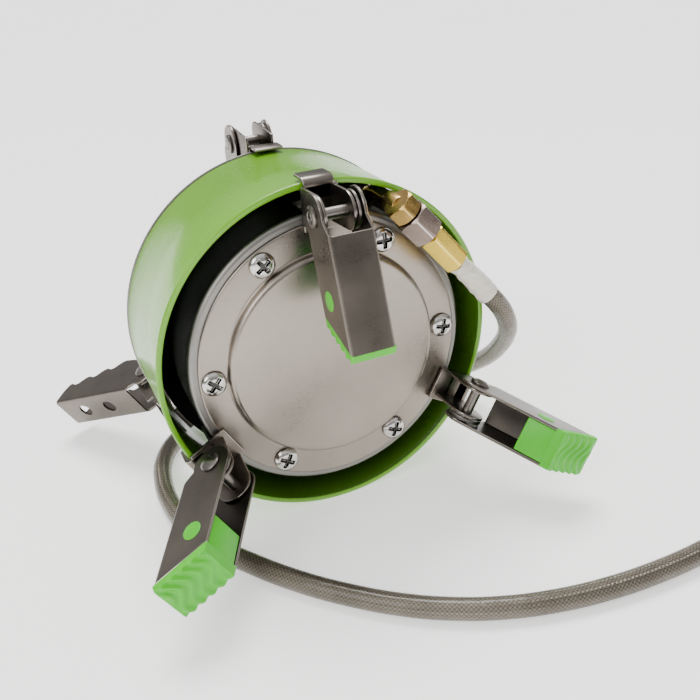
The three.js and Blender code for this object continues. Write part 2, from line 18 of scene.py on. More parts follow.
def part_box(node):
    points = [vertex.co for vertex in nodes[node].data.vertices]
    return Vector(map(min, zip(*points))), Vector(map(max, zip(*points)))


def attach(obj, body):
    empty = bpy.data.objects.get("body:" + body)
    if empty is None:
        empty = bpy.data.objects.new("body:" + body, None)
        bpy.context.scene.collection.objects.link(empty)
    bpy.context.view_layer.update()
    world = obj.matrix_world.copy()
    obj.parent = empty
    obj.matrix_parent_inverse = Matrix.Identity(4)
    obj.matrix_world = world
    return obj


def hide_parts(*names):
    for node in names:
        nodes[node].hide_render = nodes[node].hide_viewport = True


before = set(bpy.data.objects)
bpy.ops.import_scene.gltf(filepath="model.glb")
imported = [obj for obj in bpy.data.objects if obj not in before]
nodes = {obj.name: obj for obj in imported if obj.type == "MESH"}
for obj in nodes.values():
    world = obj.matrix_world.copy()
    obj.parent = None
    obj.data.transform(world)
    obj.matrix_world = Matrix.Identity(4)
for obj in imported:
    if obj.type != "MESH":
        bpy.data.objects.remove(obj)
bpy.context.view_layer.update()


def new_object(name, data):
    """An object that shows the data, linked to the scene."""
    made = bpy.data.objects.new(name, data)
    bpy.context.scene.collection.objects.link(made)
    return made


# %% [markdown]
# ## The camera
#
# The stove is seen from its base side, from above and a little to the left. A camera looks along
# its own -Z with its +Y upwards, so three directions at right angles make its rotation. Aiming a
# Track To constraint would be quicker, but it can't hold the slight roll that this view has.

# %% Camera
CAMERA_PLACE = Vector((-0.07257, -0.23105, 0.16078))
CAMERA_RIGHT = Vector((0.9131, -0.4013, -0.0718))
CAMERA_UP = Vector((0.2392, 0.3847, 0.8915))

right = CAMERA_RIGHT.normalized()
up = (CAMERA_UP - right * right.dot(CAMERA_UP)).normalized()
back = right.cross(up)
camera_data = bpy.data.cameras.new("camera")
camera_data.lens = 43.97
camera_data.sensor_width = 36
camera_data.clip_start = 0.01
camera_data.dof.use_dof = False
camera = new_object("camera", camera_data)
turn = Matrix((right, up, back)).transposed().to_4x4()
camera.matrix_world = Matrix.Translation(CAMERA_PLACE) @ turn
bpy.context.scene.camera = camera
print("camera", [round(c, 3) for c in CAMERA_PLACE])

# %% [markdown]
# ## Frames to model in
#
# Small parts are easier to think of in millimetres and in the stove's own frame: standing up,
# with its axis on Z and its lower rim at zero. One matrix scales to metres, lays the stove on its
# side and puts the lower rim's centre where the frame has it. An arm's frame turns this one to
# the arm's place on the rim, and a hinge's frame moves out to the pin and swings with the arm.

# %% Stove, arm and hinge frames
def turn_about(axis):
    return lambda angle: Matrix.Rotation(radians(angle), 4, axis)


def shift(x, y, z):
    return Matrix.Translation((x, y, z))


turn_x, turn_y, turn_z = (turn_about(axis) for axis in "XYZ")
drum_low, drum_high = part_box("windscreen_drum")
RIM_CENTRE = Vector(((drum_low.x + drum_high.x) / 2, drum_low.y, (drum_low.z + drum_high.z) / 2))
IN_MM = Matrix.Scale(0.001, 4)
STOVE = Matrix.Translation(RIM_CENTRE) @ turn_x(-90) @ IN_MM


def at_azimuth(angle):
    return STOVE @ turn_z(angle)


def hinge_frame(azimuth, radius, height, opening):
    return at_azimuth(azimuth) @ shift(radius, 0, height) @ turn_y(opening)


print("rim centre", [round(c * 1000, 2) for c in RIM_CENTRE], "mm")

# %% [markdown]
# ## The hose
#
# A gas hose of woven steel is springy: it leaves the fitting straight, falls in one wide curve to
# the floor and lies in a long bow. Its centreline is a list of points through which a Bezier
# curve runs with automatic handles. The curve is cut into equal steps, so that the weave, which
# follows the steps, isn't stretched where the points are far apart.

# %% The route of the hose
HOSE_RADIUS = 3.0
FLOOR_SHIFT = Vector((3.92, -24.3, 0))
RING_STEP = 0.36
ROUTE = [
    (47.6, -8, 60.1), (50.4, -7.9, 56.8), (53.9, -6.6, 51.8), (57.1, -3.6, 45.9),
    (59.9, 1.6, 39.6), (62.2, 8.6, 32.6), (63.7, 16.8, 25.2), (64.2, 26, 18.2), (63.2, 35.4, 12),
    (59.4, 44.4, 7.4), (52.4, 52.6, 4.6), (43, 59.6, 3.4), (32, 64.8, 3.1), (20, 68, 3.1),
    (7, 69.6, 3.1), (-6, 69.4, 3.1), (-19, 67, 3.1), (-31, 62, 3.1), (-41, 54, 3.1),
    (-47.4, 43.6, 3.1), (-50.4, 31.6, 3.1), (-51, 19, 3.1), (-49.4, 6, 3.1), (-44.9, -7, 3.1),
    (-37.4, -20, 3.1), (-28, -33.5, 3.1), (-18, -44.8, 3.1), (-7.6, -54.3, 3.1),
    (3.4, -61.9, 3.1), (15.2, -67.7, 3.1), (28, -71.8, 3.1), (41.8, -74.3, 3.1),
    (57, -75.3, 3.1), (73.2, -74.7, 3.1), (88, -72.7, 3.2), (102, -69.4, 4.4), (115, -64.4, 7.2),
    (127, -57.6, 11.2), (137.5, -49.6, 15), (146.8, -41.7, 17.4), (149.1, -39, 17.5),
]


def smooth_curve(name, points, resolution):
    """A Bezier curve through the points, with automatic handles."""
    curve = bpy.data.curves.new(name, "CURVE")
    curve.dimensions = "3D"
    spline = curve.splines.new("BEZIER")
    spline.bezier_points.add(len(points) - 1)
    for knot, point in zip(spline.bezier_points, points):
        knot.co = point
        knot.handle_left_type = knot.handle_right_type = "AUTO"
    spline.resolution_u = resolution
    return curve


def mesh_of(curve):
    """The mesh that a curve draws."""
    holder = new_object("holder", curve)
    bpy.context.view_layer.update()
    drawn = holder.evaluated_get(bpy.context.evaluated_depsgraph_get())
    mesh = bpy.data.meshes.new_from_object(drawn)
    bpy.data.objects.remove(holder)
    return mesh


def equal_steps(curve, step):
    """Points a step apart along a curve."""
    line = np.array([v.co for v in mesh_of(curve).vertices])
    along = np.concatenate([[0], np.cumsum(np.linalg.norm(np.diff(line, axis=0), axis=1))])
    stops = np.linspace(0, along[-1], max(2, round(along[-1] / step)))
    return np.column_stack([np.interp(stops, along, line[:, k]) for k in range(3)]), along[-1]


def tube_mesh(points, radius, side_steps):
    """A round tube along the points, with a UV map that runs along it and round it."""
    curve = bpy.data.curves.new("tube", "CURVE")
    curve.dimensions = "3D"
    spline = curve.splines.new("POLY")
    spline.points.add(len(points) - 1)
    for knot, point in zip(spline.points, points):
        knot.co = (*point, 1)
    curve.bevel_depth = radius
    curve.bevel_resolution = side_steps
    return mesh_of(curve)


route_mm = [Vector(p) + FLOOR_SHIFT for p in ROUTE]
hose_line, hose_mm = equal_steps(smooth_curve("route", route_mm, 24), RING_STEP)
print("hose", round(hose_mm, 1), "mm in", len(hose_line), "rings")

# %% [markdown]
# The weave has sixteen flat bundles of wire going each way round the hose, each over one and
# under the next, all under a thin clear jacket. Only the shader could draw it, but then the
# jacket would shine like a glass rod. So the tube's points are moved in or out a little by the
# height of the bundle that is on top there, and the single wires, too fine for the mesh, are left
# to the material. Both read the same two numbers: how far along the hose a point is, and how far
# round.

# %% Woven hose
BUNDLES = 16
WEAVE_DEPTH = 0.12
weave_cells = hose_mm / (2 * pi * HOSE_RADIUS / BUNDLES)


def weave_height(along, around):
    """Height of the weave, from 0 in a gap to 1 on a bundle."""
    first = along * weave_cells + around * BUNDLES
    second = along * weave_cells - around * BUNDLES
    first_part, second_part = first % 1, second % 1
    first_on_top = (np.floor(first) + np.floor(second)) % 2 == 0
    across = np.where(first_on_top, first_part, second_part)
    length = np.where(first_on_top, second_part, first_part)
    return np.sin(pi * across) ** 0.5 * (0.55 + 0.45 * np.sin(pi * length))


hose_mesh = tube_mesh(hose_line, HOSE_RADIUS - WEAVE_DEPTH, 22)
hose_mesh.name = "braided_hose"
uv = np.zeros(len(hose_mesh.loops) * 2)
hose_mesh.uv_layers[0].data.foreach_get("uv", uv)
uv = uv.reshape(-1, 2)
corner_vertex = np.zeros(len(hose_mesh.loops), int)
hose_mesh.loops.foreach_get("vertex_index", corner_vertex)
spot_uv = np.zeros((len(hose_mesh.vertices), 2))
spot_uv[corner_vertex] = uv
co = np.array([v.co for v in hose_mesh.vertices])
ring = np.clip(np.round(spot_uv[:, 0] * (len(hose_line) - 1)).astype(int), 0, len(hose_line) - 1)
outward = co - hose_line[ring]
outward /= np.linalg.norm(outward, axis=1)[:, None] + 1e-9
co += outward * (weave_height(spot_uv[:, 0], spot_uv[:, 1]) * WEAVE_DEPTH)[:, None]
hose_mesh.vertices.foreach_set("co", (co / 1000).ravel())


def fill_ends(bm):
    bmesh.ops.holes_fill(bm, edges=[e for e in bm.edges if e.is_boundary], sides=0)


def faced_out(bm):
    bmesh.ops.recalc_face_normals(bm, faces=bm.faces)
    return bm


ends = bmesh.new()
ends.from_mesh(hose_mesh)
fill_ends(ends)
ends.to_mesh(hose_mesh)
ends.free()
hose_mesh.shade_smooth()
hose = new_object("braided_hose", hose_mesh)
print("hose mesh", len(hose_mesh.polygons), "faces")

# %% [markdown]
# ## Finishes
#
# Every finish starts from the Principled shader. What makes it look real is that nothing is even:
# the colour drifts by a few percent, the roughness changes with handling, and a fine bump breaks
# the reflections. Noise textures in Object coordinates give all three, because a piece's own
# coordinates are in metres and don't slide when the piece moves. Two attributes of the mesh steer
# a finish as well: "edge" marks the bevels, which are bright where sheet was cut, and the other
# marks the faces to be made darker: painted shade inside the drum, in the screws' recesses and
# inside the leg channels, and the pan's wall, which is made near black.

# %% Small shader helpers
def new_finish(name):
    material = bpy.data.materials.new(name)
    material.use_nodes = True
    tree = material.node_tree
    return material, tree, tree.nodes["Principled BSDF"]


def noise(tree, scale, detail, stretch=(1, 1, 1)):
    """Noise in the piece's own coordinates. scale counts blobs per metre."""
    place = tree.nodes.new("ShaderNodeTexCoord")
    mapping = tree.nodes.new("ShaderNodeMapping")
    mapping.inputs["Scale"].default_value = stretch
    texture = tree.nodes.new("ShaderNodeTexNoise")
    texture.inputs["Scale"].default_value = scale
    texture.inputs["Detail"].default_value = detail
    tree.links.new(place.outputs["Object"], mapping.inputs["Vector"])
    tree.links.new(mapping.outputs["Vector"], texture.inputs["Vector"])
    return texture.outputs["Fac"]


def spread(tree, factor, low, high, from_low=0.3, from_high=0.7):
    """The factor's useful middle, spread over a range."""
    node = tree.nodes.new("ShaderNodeMapRange")
    for socket, value in zip(list(node.inputs)[1:5], (from_low, from_high, low, high)):
        socket.default_value = value
    tree.links.new(factor, node.inputs["Value"])
    return node.outputs["Result"]


def mixed(tree, factor, first, second):
    """A colour between two, each a colour or another node's output."""
    node = tree.nodes.new("ShaderNodeMix")
    node.data_type = "RGBA"
    for name, value in (("A", first), ("B", second)):
        socket = [s for s in node.inputs if s.name == name and s.type == "RGBA"][0]
        if isinstance(value, tuple):
            socket.default_value = (*value, 1)
        else:
            tree.links.new(value, socket)
    tree.links.new(factor, [s for s in node.inputs if s.name == "Factor"][0])
    return [s for s in node.outputs if s.type == "RGBA"][0]


def calc(tree, operation, first, second=0.0):
    node = tree.nodes.new("ShaderNodeMath")
    node.operation = operation
    for socket, value in zip(node.inputs, (first, second)):
        if isinstance(value, (int, float)):
            socket.default_value = value
        else:
            tree.links.new(value, socket)
    return node.outputs["Value"]


def bumped(tree, shader, height, strength, distance):
    node = tree.nodes.new("ShaderNodeBump")
    node.inputs["Strength"].default_value = strength
    node.inputs["Distance"].default_value = distance
    tree.links.new(height, node.inputs["Height"])
    tree.links.new(node.outputs["Normal"], shader.inputs["Normal"])


def attribute(tree, name):
    node = tree.nodes.new("ShaderNodeAttribute")
    node.attribute_name = name
    return node.outputs["Fac"]


def darker(colour, share):
    return tuple(c * share for c in colour)


# %% [markdown]
# The metals share one recipe with different numbers: a cloudy drift between a darker and a
# lighter tone, streaks from brushing or turning, and a brighter, smoother edge where a sheet was
# cut. An anisotropic shader could stretch the highlights, but on such small parts streaks in
# roughness and bump do the same and survive being baked.

# %% Metals
SPECK_SHARE, SPECK_TONE = 0.2, 0.35
DARKENED_BLACK = (0.006, 0.006, 0.006)
EDGE_SHARE, EDGE_ROUGHNESS = 0.75, 0.7
EVEN, TURNED = (1, 1, 1), (1, 1, 5)


def metal(name, colour, rough, cloud, streak, stretch, depth, contrast, edge=None):
    """A metal with clouds and streaks, both counted per metre, and cut edges of another colour.

    depth is the streaks' in metres, and contrast is how dark the clouds are, 1 being not at all.
    """
    material, tree, shader = new_finish(name)
    clouds = noise(tree, cloud, 5)
    streaks = noise(tree, streak, 3, stretch)
    tone = mixed(tree, spread(tree, clouds, 0, 1), darker(colour, contrast), colour)
    specks = spread(tree, noise(tree, cloud * 9, 6), 0, 1, 0.66, 0.8)
    tone = mixed(tree, calc(tree, "MULTIPLY", specks, SPECK_SHARE), tone,
                 darker(colour, SPECK_TONE))
    roughness = spread(tree, calc(tree, "ADD", clouds, calc(tree, "MULTIPLY", streaks, 0.6)),
                       *rough, 0.55, 1.05)
    # Faces marked darker fade towards near black: painted shade in the recesses and channels, and
    # the pan's black wall.
    tone = mixed(tree, attribute(tree, "darkening"), tone, DARKENED_BLACK)
    if edge:
        cut = attribute(tree, "edge")
        tone = mixed(tree, calc(tree, "MULTIPLY", cut, EDGE_SHARE), tone, edge)
        roughness = calc(tree, "MULTIPLY", roughness, spread(tree, cut, 1, EDGE_ROUGHNESS, 0, 1))
    tree.links.new(tone, shader.inputs["Base Color"])
    tree.links.new(roughness, shader.inputs["Roughness"])
    shader.inputs["Metallic"].default_value = 1
    bumped(tree, shader, streaks, 0.5, depth)
    return material


SATIN = metal("satin_steel", (0.37, 0.325, 0.28), (0.26, 0.38), 30, 1400, EVEN, 0.000012, 0.72)
PAN_STEEL = metal("pan_steel", (0.3, 0.285, 0.265), (0.35, 0.5), 50, 1200, EVEN, 0.00002, 0.7)
SHEET_STEEL = metal("dark_steel", (0.19, 0.165, 0.14), (0.26, 0.4), 60, 1500, (6, 1, 1),
                    0.00001, 0.72, edge=(0.42, 0.38, 0.34))
BRIGHT = metal("bright_steel", (0.66, 0.63, 0.6), (0.12, 0.24), 200, 2500, EVEN, 0.000006,
               0.8, edge=(0.8, 0.78, 0.75))
PIN_STEEL = metal("pin_steel", (0.26, 0.235, 0.21), (0.25, 0.38), 200, 2500, EVEN, 0.000006,
                  0.75, edge=(0.6, 0.57, 0.53))
BRASS = metal("brass", (0.8, 0.57, 0.085), (0.16, 0.3), 120, 2400, TURNED, 0.000008, 0.76,
              edge=(0.95, 0.75, 0.3))
OLD_BRASS = metal("old_brass", (0.5, 0.32, 0.1), (0.2, 0.34), 120, 2400, TURNED, 0.000008,
                  0.66, edge=(0.75, 0.55, 0.22))
NICKEL = metal("nickel", (0.33, 0.255, 0.215), (0.2, 0.32), 150, 2400, TURNED, 0.000008, 0.78,
               edge=(0.8, 0.76, 0.72))
ALUMINIUM = metal("aluminium", (0.42, 0.43, 0.44), (0.25, 0.38), 100, 2000, (1, 1, 8), 0.00001,
                  0.82, edge=(0.6, 0.61, 0.62))
FLAME_STEEL = metal("flame_steel", (0.2, 0.18, 0.16), (0.4, 0.6), 70, 900, EVEN, 0.00003,
                    0.55, edge=(0.4, 0.36, 0.32))

# %% [markdown]
# The drum's enamel is a thick gloss coat: a colour layer, a clear coat over it, and the faint
# dimples called orange peel. The nylon of the feet is the same family of green but brighter,
# softer in its shine and slightly see-through, so it gets a little subsurface light.

# %% Enamel, nylon, film and rubber
SHADED_ENAMEL = 0.12
WORN_SHARE, WORN_LIFT = 0.35, 1.35


def enamel(name, colour):
    material, tree, shader = new_finish(name)
    drift = spread(tree, noise(tree, 25, 3), 0, 1)
    tone = mixed(tree, drift, darker(colour, 0.93), colour)
    dust = spread(tree, noise(tree, 1500, 3), 0, 0.3, 0.68, 0.8)
    tone = mixed(tree, dust, tone, darker(colour, 0.6))
    # The drum's inner wall is painted darker green: painted shade inside the drum.
    tone = mixed(tree, attribute(tree, "darkening"), tone, darker(colour, SHADED_ENAMEL))
    tree.links.new(tone, shader.inputs["Base Color"])
    tree.links.new(spread(tree, noise(tree, 90, 5), 0.24, 0.34), shader.inputs["Roughness"])
    shader.inputs["Coat Weight"].default_value = 0.25
    shader.inputs["Coat Roughness"].default_value = 0.1
    shader.inputs["IOR"].default_value = 1.5
    bumped(tree, shader, noise(tree, 420, 2), 0.25, 0.00003)
    return material


def plastic(name, colour, rough, grain, depth, glow=0.0):
    material, tree, shader = new_finish(name)
    tone = mixed(tree, spread(tree, noise(tree, 110, 4), 0, 1), darker(colour, 0.88), colour)
    worn = mixed(tree, calc(tree, "MULTIPLY", attribute(tree, "edge"), WORN_SHARE), tone,
                 tuple(min(1, c * WORN_LIFT + 0.02) for c in colour))
    tree.links.new(worn, shader.inputs["Base Color"])
    tree.links.new(spread(tree, noise(tree, 300, 4), *rough), shader.inputs["Roughness"])
    shader.inputs["Subsurface Weight"].default_value = glow
    shader.inputs["Subsurface Scale"].default_value = 0.002
    bumped(tree, shader, noise(tree, grain, 4), 0.4, depth)
    return material


ENAMEL = enamel("green_paint", (0.15, 0.42, 0.006))
NYLON = plastic("green_nylon", (0.06, 0.52, 0.004), (0.34, 0.46), 1400, 0.00002, 0.08)
FILM = plastic("film_sleeve", (0.76, 0.71, 0.62), (0.14, 0.3), 420, 0.0006)
RUBBER = plastic("rubber", (0.02, 0.02, 0.02), (0.6, 0.8), 1800, 0.00004)

# %% [markdown]
# The weave's material repeats the mesh's rule with math nodes: the same two diagonal counts tell
# which bundle is on top, and a sine across it makes seven fine wires. The dark gaps between the
# bundles are where both bundles' edges meet.

# %% Woven steel
WIRES = 7


def woven_steel():
    material, tree, shader = new_finish("braid")
    place = tree.nodes.new("ShaderNodeUVMap")
    split = tree.nodes.new("ShaderNodeSeparateXYZ")
    tree.links.new(place.outputs["UV"], split.inputs["Vector"])
    along = calc(tree, "MULTIPLY", split.outputs["X"], weave_cells)
    around = calc(tree, "MULTIPLY", split.outputs["Y"], BUNDLES)
    first = calc(tree, "ADD", along, around)
    second = calc(tree, "SUBTRACT", along, around)
    floors = calc(tree, "ADD", calc(tree, "FLOOR", first), calc(tree, "FLOOR", second))
    over = calc(tree, "FLOORED_MODULO", floors, 2.0)
    gap = calc(tree, "SUBTRACT", second, first)
    across = calc(tree, "FRACT", calc(tree, "ADD", first, calc(tree, "MULTIPLY", over, gap)))
    bundle = calc(tree, "SINE", calc(tree, "MULTIPLY", across, pi))
    wires = calc(tree, "SINE", calc(tree, "MULTIPLY", across, 2 * pi * WIRES))
    wires = calc(tree, "MULTIPLY", calc(tree, "ADD", wires, 1.0), 0.5)
    age = spread(tree, noise(tree, 45, 4), 0, 1)
    steel = mixed(tree, age, (0.17, 0.145, 0.11), (0.32, 0.28, 0.225))
    shade = calc(tree, "MULTIPLY", spread(tree, bundle, 0.12, 1, 0.05, 0.75),
                 spread(tree, wires, 0.55, 1, 0, 0.7))
    tree.links.new(mixed(tree, shade, (0.012, 0.01, 0.008), steel), shader.inputs["Base Color"])
    tree.links.new(spread(tree, noise(tree, 700, 3), 0.3, 0.46), shader.inputs["Roughness"])
    shader.inputs["Metallic"].default_value = 1
    shader.inputs["Coat Weight"].default_value = 0.4
    shader.inputs["Coat Roughness"].default_value = 0.12
    bumped(tree, shader, wires, 0.6, 0.00005)
    return material


BRAID = woven_steel()
hose_mesh.materials.append(BRAID)
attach(hose, "stove")
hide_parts("gas_hose")
print("weave cells along the hose", round(weave_cells))

# %% [markdown]
# ## Tools for the metalwork
#
# Three small tools make nearly every part. A turned part is a profile of radius and height, spun
# round Z. A cut-out part is an outline drawn in X and Z and pushed along Y. A folded part is such
# a block with all its faces taken away but the web and the two sides, its folds rounded, and a
# thickness given to it. A fourth tool bevels the sharp edges of each, because a perfectly sharp
# edge catches no light.

# %% Softened edges
def bevelled(bm, edges, width, segments):
    """Rounds the edges off and gives the new faces."""
    return bmesh.ops.bevel(
        bm, geom=edges, offset=width, offset_type="OFFSET", affect="EDGES", segments=segments,
        profile=0.5, material=-1, clamp_overlap=True)["faces"]


def soften(bm, width, segments=2, angle=35):
    """Bevels the sharp edges and marks the new faces in the attribute "edge"."""
    mark = bm.faces.layers.float.get("edge") or bm.faces.layers.float.new("edge")
    sharp = [e for e in bm.edges if e.is_manifold and e.calc_face_angle(0) > radians(angle)]
    for face in bevelled(bm, sharp, width, segments):
        face[mark] = 1
    return bm


# %% A turned part
def spun(profile, steps, closed=False, width=0.0):
    """A profile of (radius, height) pairs turned about Z."""
    bm = bmesh.new()
    verts = [bm.verts.new((radius, 0, height)) for radius, height in profile]
    edges = [bm.edges.new(pair) for pair in zip(verts, verts[1:])]
    if closed:
        edges.append(bm.edges.new((verts[-1], verts[0])))
    bmesh.ops.spin(
        bm, geom=verts + edges, cent=(0, 0, 0), axis=(0, 0, 1), dvec=(0, 0, 0),
        angle=2 * pi, steps=steps, use_merge=True, use_normal_flip=False, use_duplicate=False)
    bmesh.ops.remove_doubles(bm, verts=bm.verts, dist=1e-4)
    return soften(faced_out(bm), width) if width else faced_out(bm)


# %% A part cut to an outline
def verts_in(geometry):
    return [v for v in geometry if isinstance(v, bmesh.types.BMVert)]


def pushed_out(bm, faces):
    """The vertices of a copy of the faces, joined to them by walls."""
    return verts_in(bmesh.ops.extrude_face_region(bm, geom=faces)["geom"])


def prism(outline, low, high):
    """An outline of (x, z) pairs pushed along Y."""
    bm = bmesh.new()
    face = bm.faces.new([bm.verts.new((x, low, z)) for x, z in outline])
    bmesh.ops.translate(bm, verts=pushed_out(bm, [face]), vec=(0, high - low, 0))
    return faced_out(bm)


def arc(centre, radius, start, end, count):
    """Points on an arc in the X-Z plane, angles in degrees."""
    angles = [radians(start + (end - start) * i / count) for i in range(count + 1)]
    return [(centre[0] + radius * cos(a), centre[1] + radius * sin(a)) for a in angles]


def rod(bm, radius, length, sides, place=Matrix()):
    """Adds a bar along Z, centred on its place."""
    bmesh.ops.create_cone(bm, cap_ends=True, segments=sides, radius1=radius, radius2=radius,
                          depth=length, matrix=place)
    return bm


def block(low, high, width=0.0, segments=2):
    """A box between two corners, with softened edges."""
    bm = bmesh.new()
    size = [b - a for a, b in zip(low, high)]
    middle = [(a + b) / 2 for a, b in zip(low, high)]
    place = Matrix.Translation(middle) @ Matrix.Diagonal((*size, 1))
    bmesh.ops.create_cube(bm, size=1, matrix=place)
    return soften(bm, width, segments) if width else bm


# %% A folded part
def folded(outline, half, web_height, sheet, bend, width):
    """A channel of folded sheet: two sides cut to the outline and a web at web_height."""
    bm = prism(outline, -half, half)
    keep = [f for f in bm.faces if abs(f.normal.y) > 0.9
            or all(abs(v.co.z - web_height) < 1e-3 for v in f.verts)]
    bmesh.ops.delete(bm, geom=[f for f in bm.faces if f not in keep], context="FACES")
    bevelled(bm, [e for e in bm.edges if e.is_manifold], bend, 5)
    bmesh.ops.solidify(bm, geom=bm.faces[:], thickness=sheet)
    return soften(faced_out(bm), width, 1)


# %% Darkened faces
def darken_faces(bm, where):
    """Marks the faces to be made darker, by a test on their middle: painted shade, and the pan's
    black wall.
    """
    mark = bm.faces.layers.float.new("darkening")
    for face in bm.faces:
        face[mark] = where(face.calc_center_median())
    return bm


# %% Joining and cutting
def added(target, *others):
    """Copies the other meshes into the first one."""
    for other in others:
        mesh = bpy.data.meshes.new("part")
        other.to_mesh(mesh)
        other.free()
        target.from_mesh(mesh)
        bpy.data.meshes.remove(mesh)
    return target


def moved(bm, *matrices):
    for matrix in matrices:
        bmesh.ops.transform(bm, matrix=matrix, verts=bm.verts)
    return bm


def cut_away(bm, cutter, operation="DIFFERENCE"):
    """The first mesh less the second, or what they share."""
    holders = []
    for part in (bm, cutter):
        mesh = bpy.data.meshes.new("part")
        part.to_mesh(mesh)
        part.free()
        holders.append(new_object("part", mesh))
    step = holders[0].modifiers.new("cut", "BOOLEAN")
    step.object, step.operation, step.solver = holders[1], operation, "EXACT"
    bpy.context.view_layer.update()
    result = bmesh.new()
    drawn = holders[0].evaluated_get(bpy.context.evaluated_depsgraph_get())
    result.from_mesh(drawn.to_mesh())
    for holder in holders:
        bpy.data.objects.remove(holder)
    bmesh.ops.remove_doubles(result, verts=result.verts, dist=1e-4)
    bmesh.ops.dissolve_degenerate(result, edges=result.edges, dist=1e-4)
    return result


def finished(name, bm, place, material, stands_for, body="stove", sharp=38):
    """The mesh as a piece of the stove: placed, smoothed, painted and riding on its body."""
    moved(bm, place)
    mesh = bpy.data.meshes.new(name)
    bm.to_mesh(mesh)
    bm.free()
    mesh.shade_smooth()
    mesh.set_sharp_from_angle(angle=radians(sharp))
    mesh.materials.append(material)
    piece = new_object(name, mesh)
    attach(piece, body)
    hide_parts(stands_for)
    print(f"{name}: {len(mesh.polygons)} faces")


# %% [markdown]
# ## The drum and what closes it
#
# The windscreen is pressed from thin sheet: a straight wall, a small lip rolled outwards at the
# lower rim and a bare steel ring on the upper one. A cylinder with a Solidify modifier would have
# the wall but not the lip, so the wall's whole section is drawn and spun. Inside it hangs the
# burner pan, its wall made near black above the bottom flange, closed below by a round cover
# plate with a raised disc.

# %% Windscreen drum and trim ring
DRUM_STEPS = 192
DRUM_SHADE = 0.8
lip = arc((50.0, 0.65), 0.6, -80, 60, 6)
wall = [(48.95, 0.25), (49.2, 0.05)] + lip + [(50.02, 1.9), (50, 2.6), (50, 42), (49.7, 42.4)]
wall += [(49.2, 42.4), (48.95, 42.1)]
# The inner wall is painted darker: painted shade inside the drum.
drum = darken_faces(spun(wall, DRUM_STEPS, closed=True),
              lambda spot: DRUM_SHADE * (hypot(spot.x, spot.y) < 49 and spot.z > 0.3))
finished("windscreen", drum, STOVE, ENAMEL, "windscreen_drum", sharp=60)
TRIM_HEIGHT = 43.1
trim = [(x, (z + TRIM_HEIGHT) / 2) for x, z in arc((49.5, TRIM_HEIGHT), 0.85, -30, 210, 12)]
finished("top_ring", spun(trim, DRUM_STEPS, closed=True), STOVE, PAN_STEEL, "top_trim_ring",
         sharp=60)

# %% Burner pan with its air holes
PIPE_LEVEL = 14
INLET_AZIMUTH = -63.5
AIR_HOLE_RADIUS = 3.2
pan_profile = [(33.6, 0.3)] + arc((40.4, 1.8), 1.5, -90, 0, 6) + [
    (41.9, 3), (41.9, 25.1), (46.4, 25.1), (46.8, 25.5), (46.4, 26), (37.3, 26), (37.3, 25.1),
    (40.6, 25.1), (41, 24.7), (41, 2.4), (40.2, 1.3), (33.6, 1.3)]
pan = spun(pan_profile, 128, closed=True)
for azimuth in (INLET_AZIMUTH, 0, 60, 100):
    drill = rod(bmesh.new(), AIR_HOLE_RADIUS, 6, 24)
    pan = cut_away(pan, moved(drill, turn_y(90), shift(41, 0, PIPE_LEVEL), turn_z(azimuth)))
# The pan's outer wall and top rim are made near black; the bottom flange stays bare steel.
darken_faces(pan, lambda spot: hypot(spot.x, spot.y) > 40.9 and spot.z > 2)
finished("pan", pan, STOVE, PAN_STEEL, "burner_pan", sharp=40)

# %% Cover plate
shoulder = arc((29.4, -1.6), 1.7, -90, -8, 8)
foot_curve = arc((31.8, -1.3), 0.7, 180, 90, 5)
cover = [(0, -3.3), (15, -3.32), (27.5, -3.3)] + shoulder + foot_curve
cover += [(38.9, -0.6), (39.3, -0.45), (39.4, -0.2), (39.2, 0), (31.2, 0), (30.5, -1.5),
          (29.3, -2.7), (0, -2.7)]
finished("cover_plate", spun(cover, 160), STOVE, SATIN, "base_cover", sharp=50)

# %% [markdown]
# ## Screws
#
# The cover is held by pan-head screws with a cross recess. The head is a low dome, out of which a
# tapered cross is cut, and the recess is painted darker as painted shade. Each screw is turned a
# little differently, as a hand leaves them.

# %% Cover screws
RECESS_TAPER, RECESS_SHADE = 0.7, 0.92


def cross_recess(radius, outer, inner):
    """A cross that tapers from the height outer to the height inner."""
    arm, half = radius * 0.74, radius * 0.19
    outline = [(half, -arm), (half, -half), (arm, -half), (arm, half), (half, half), (half, arm)]
    outline += [(-x, -y) for x, y in outline]
    bm = bmesh.new()
    face = bm.faces.new([bm.verts.new((x, y, outer)) for x, y in outline])
    for v in pushed_out(bm, [face]):
        v.co = (v.co.x * RECESS_TAPER, v.co.y * RECESS_TAPER, inner)
    return faced_out(bm)


def cross_screw(radius, height):
    dome = [(0, -height), (radius * 0.45, -height * 0.96), (radius * 0.75, -height * 0.78),
            (radius * 0.93, -height * 0.45), (radius, -height * 0.08), (radius * 0.98, 0), (0, 0)]
    head = cut_away(spun(dome, 40), cross_recess(radius, -height * 1.2, -height * 0.2))
    # The recess is painted darker: painted shade in the cross.
    return darken_faces(soften(head, 0.05, 1, 40), lambda spot: RECESS_SHADE * (
        hypot(spot.x, spot.y) < radius * 0.7 and spot.z > -height * 0.74))


SCREW_CIRCLE = 35.4
SCREW_SEAT = -0.9
for number, azimuth in enumerate((-60, 0, 60, 120, 180, 240), start=1):
    place = at_azimuth(azimuth) @ shift(SCREW_CIRCLE, 0, SCREW_SEAT) @ turn_z(17 + 41 * number)
    finished(f"cover_screw_{number}", cross_screw(3.7, 1.55), place, BRIGHT,
             f"base_screw_{number}")

# %% [markdown]
# ## The burner
#
# Behind the pan's mouth is the burner: a plate with rings of small holes, a fine screen under it,
# and a domed cap in the middle. Real holes are cut, because the flame side is looked into from
# above. All the drills are joined into one mesh first, so that there is only one cut to compute.

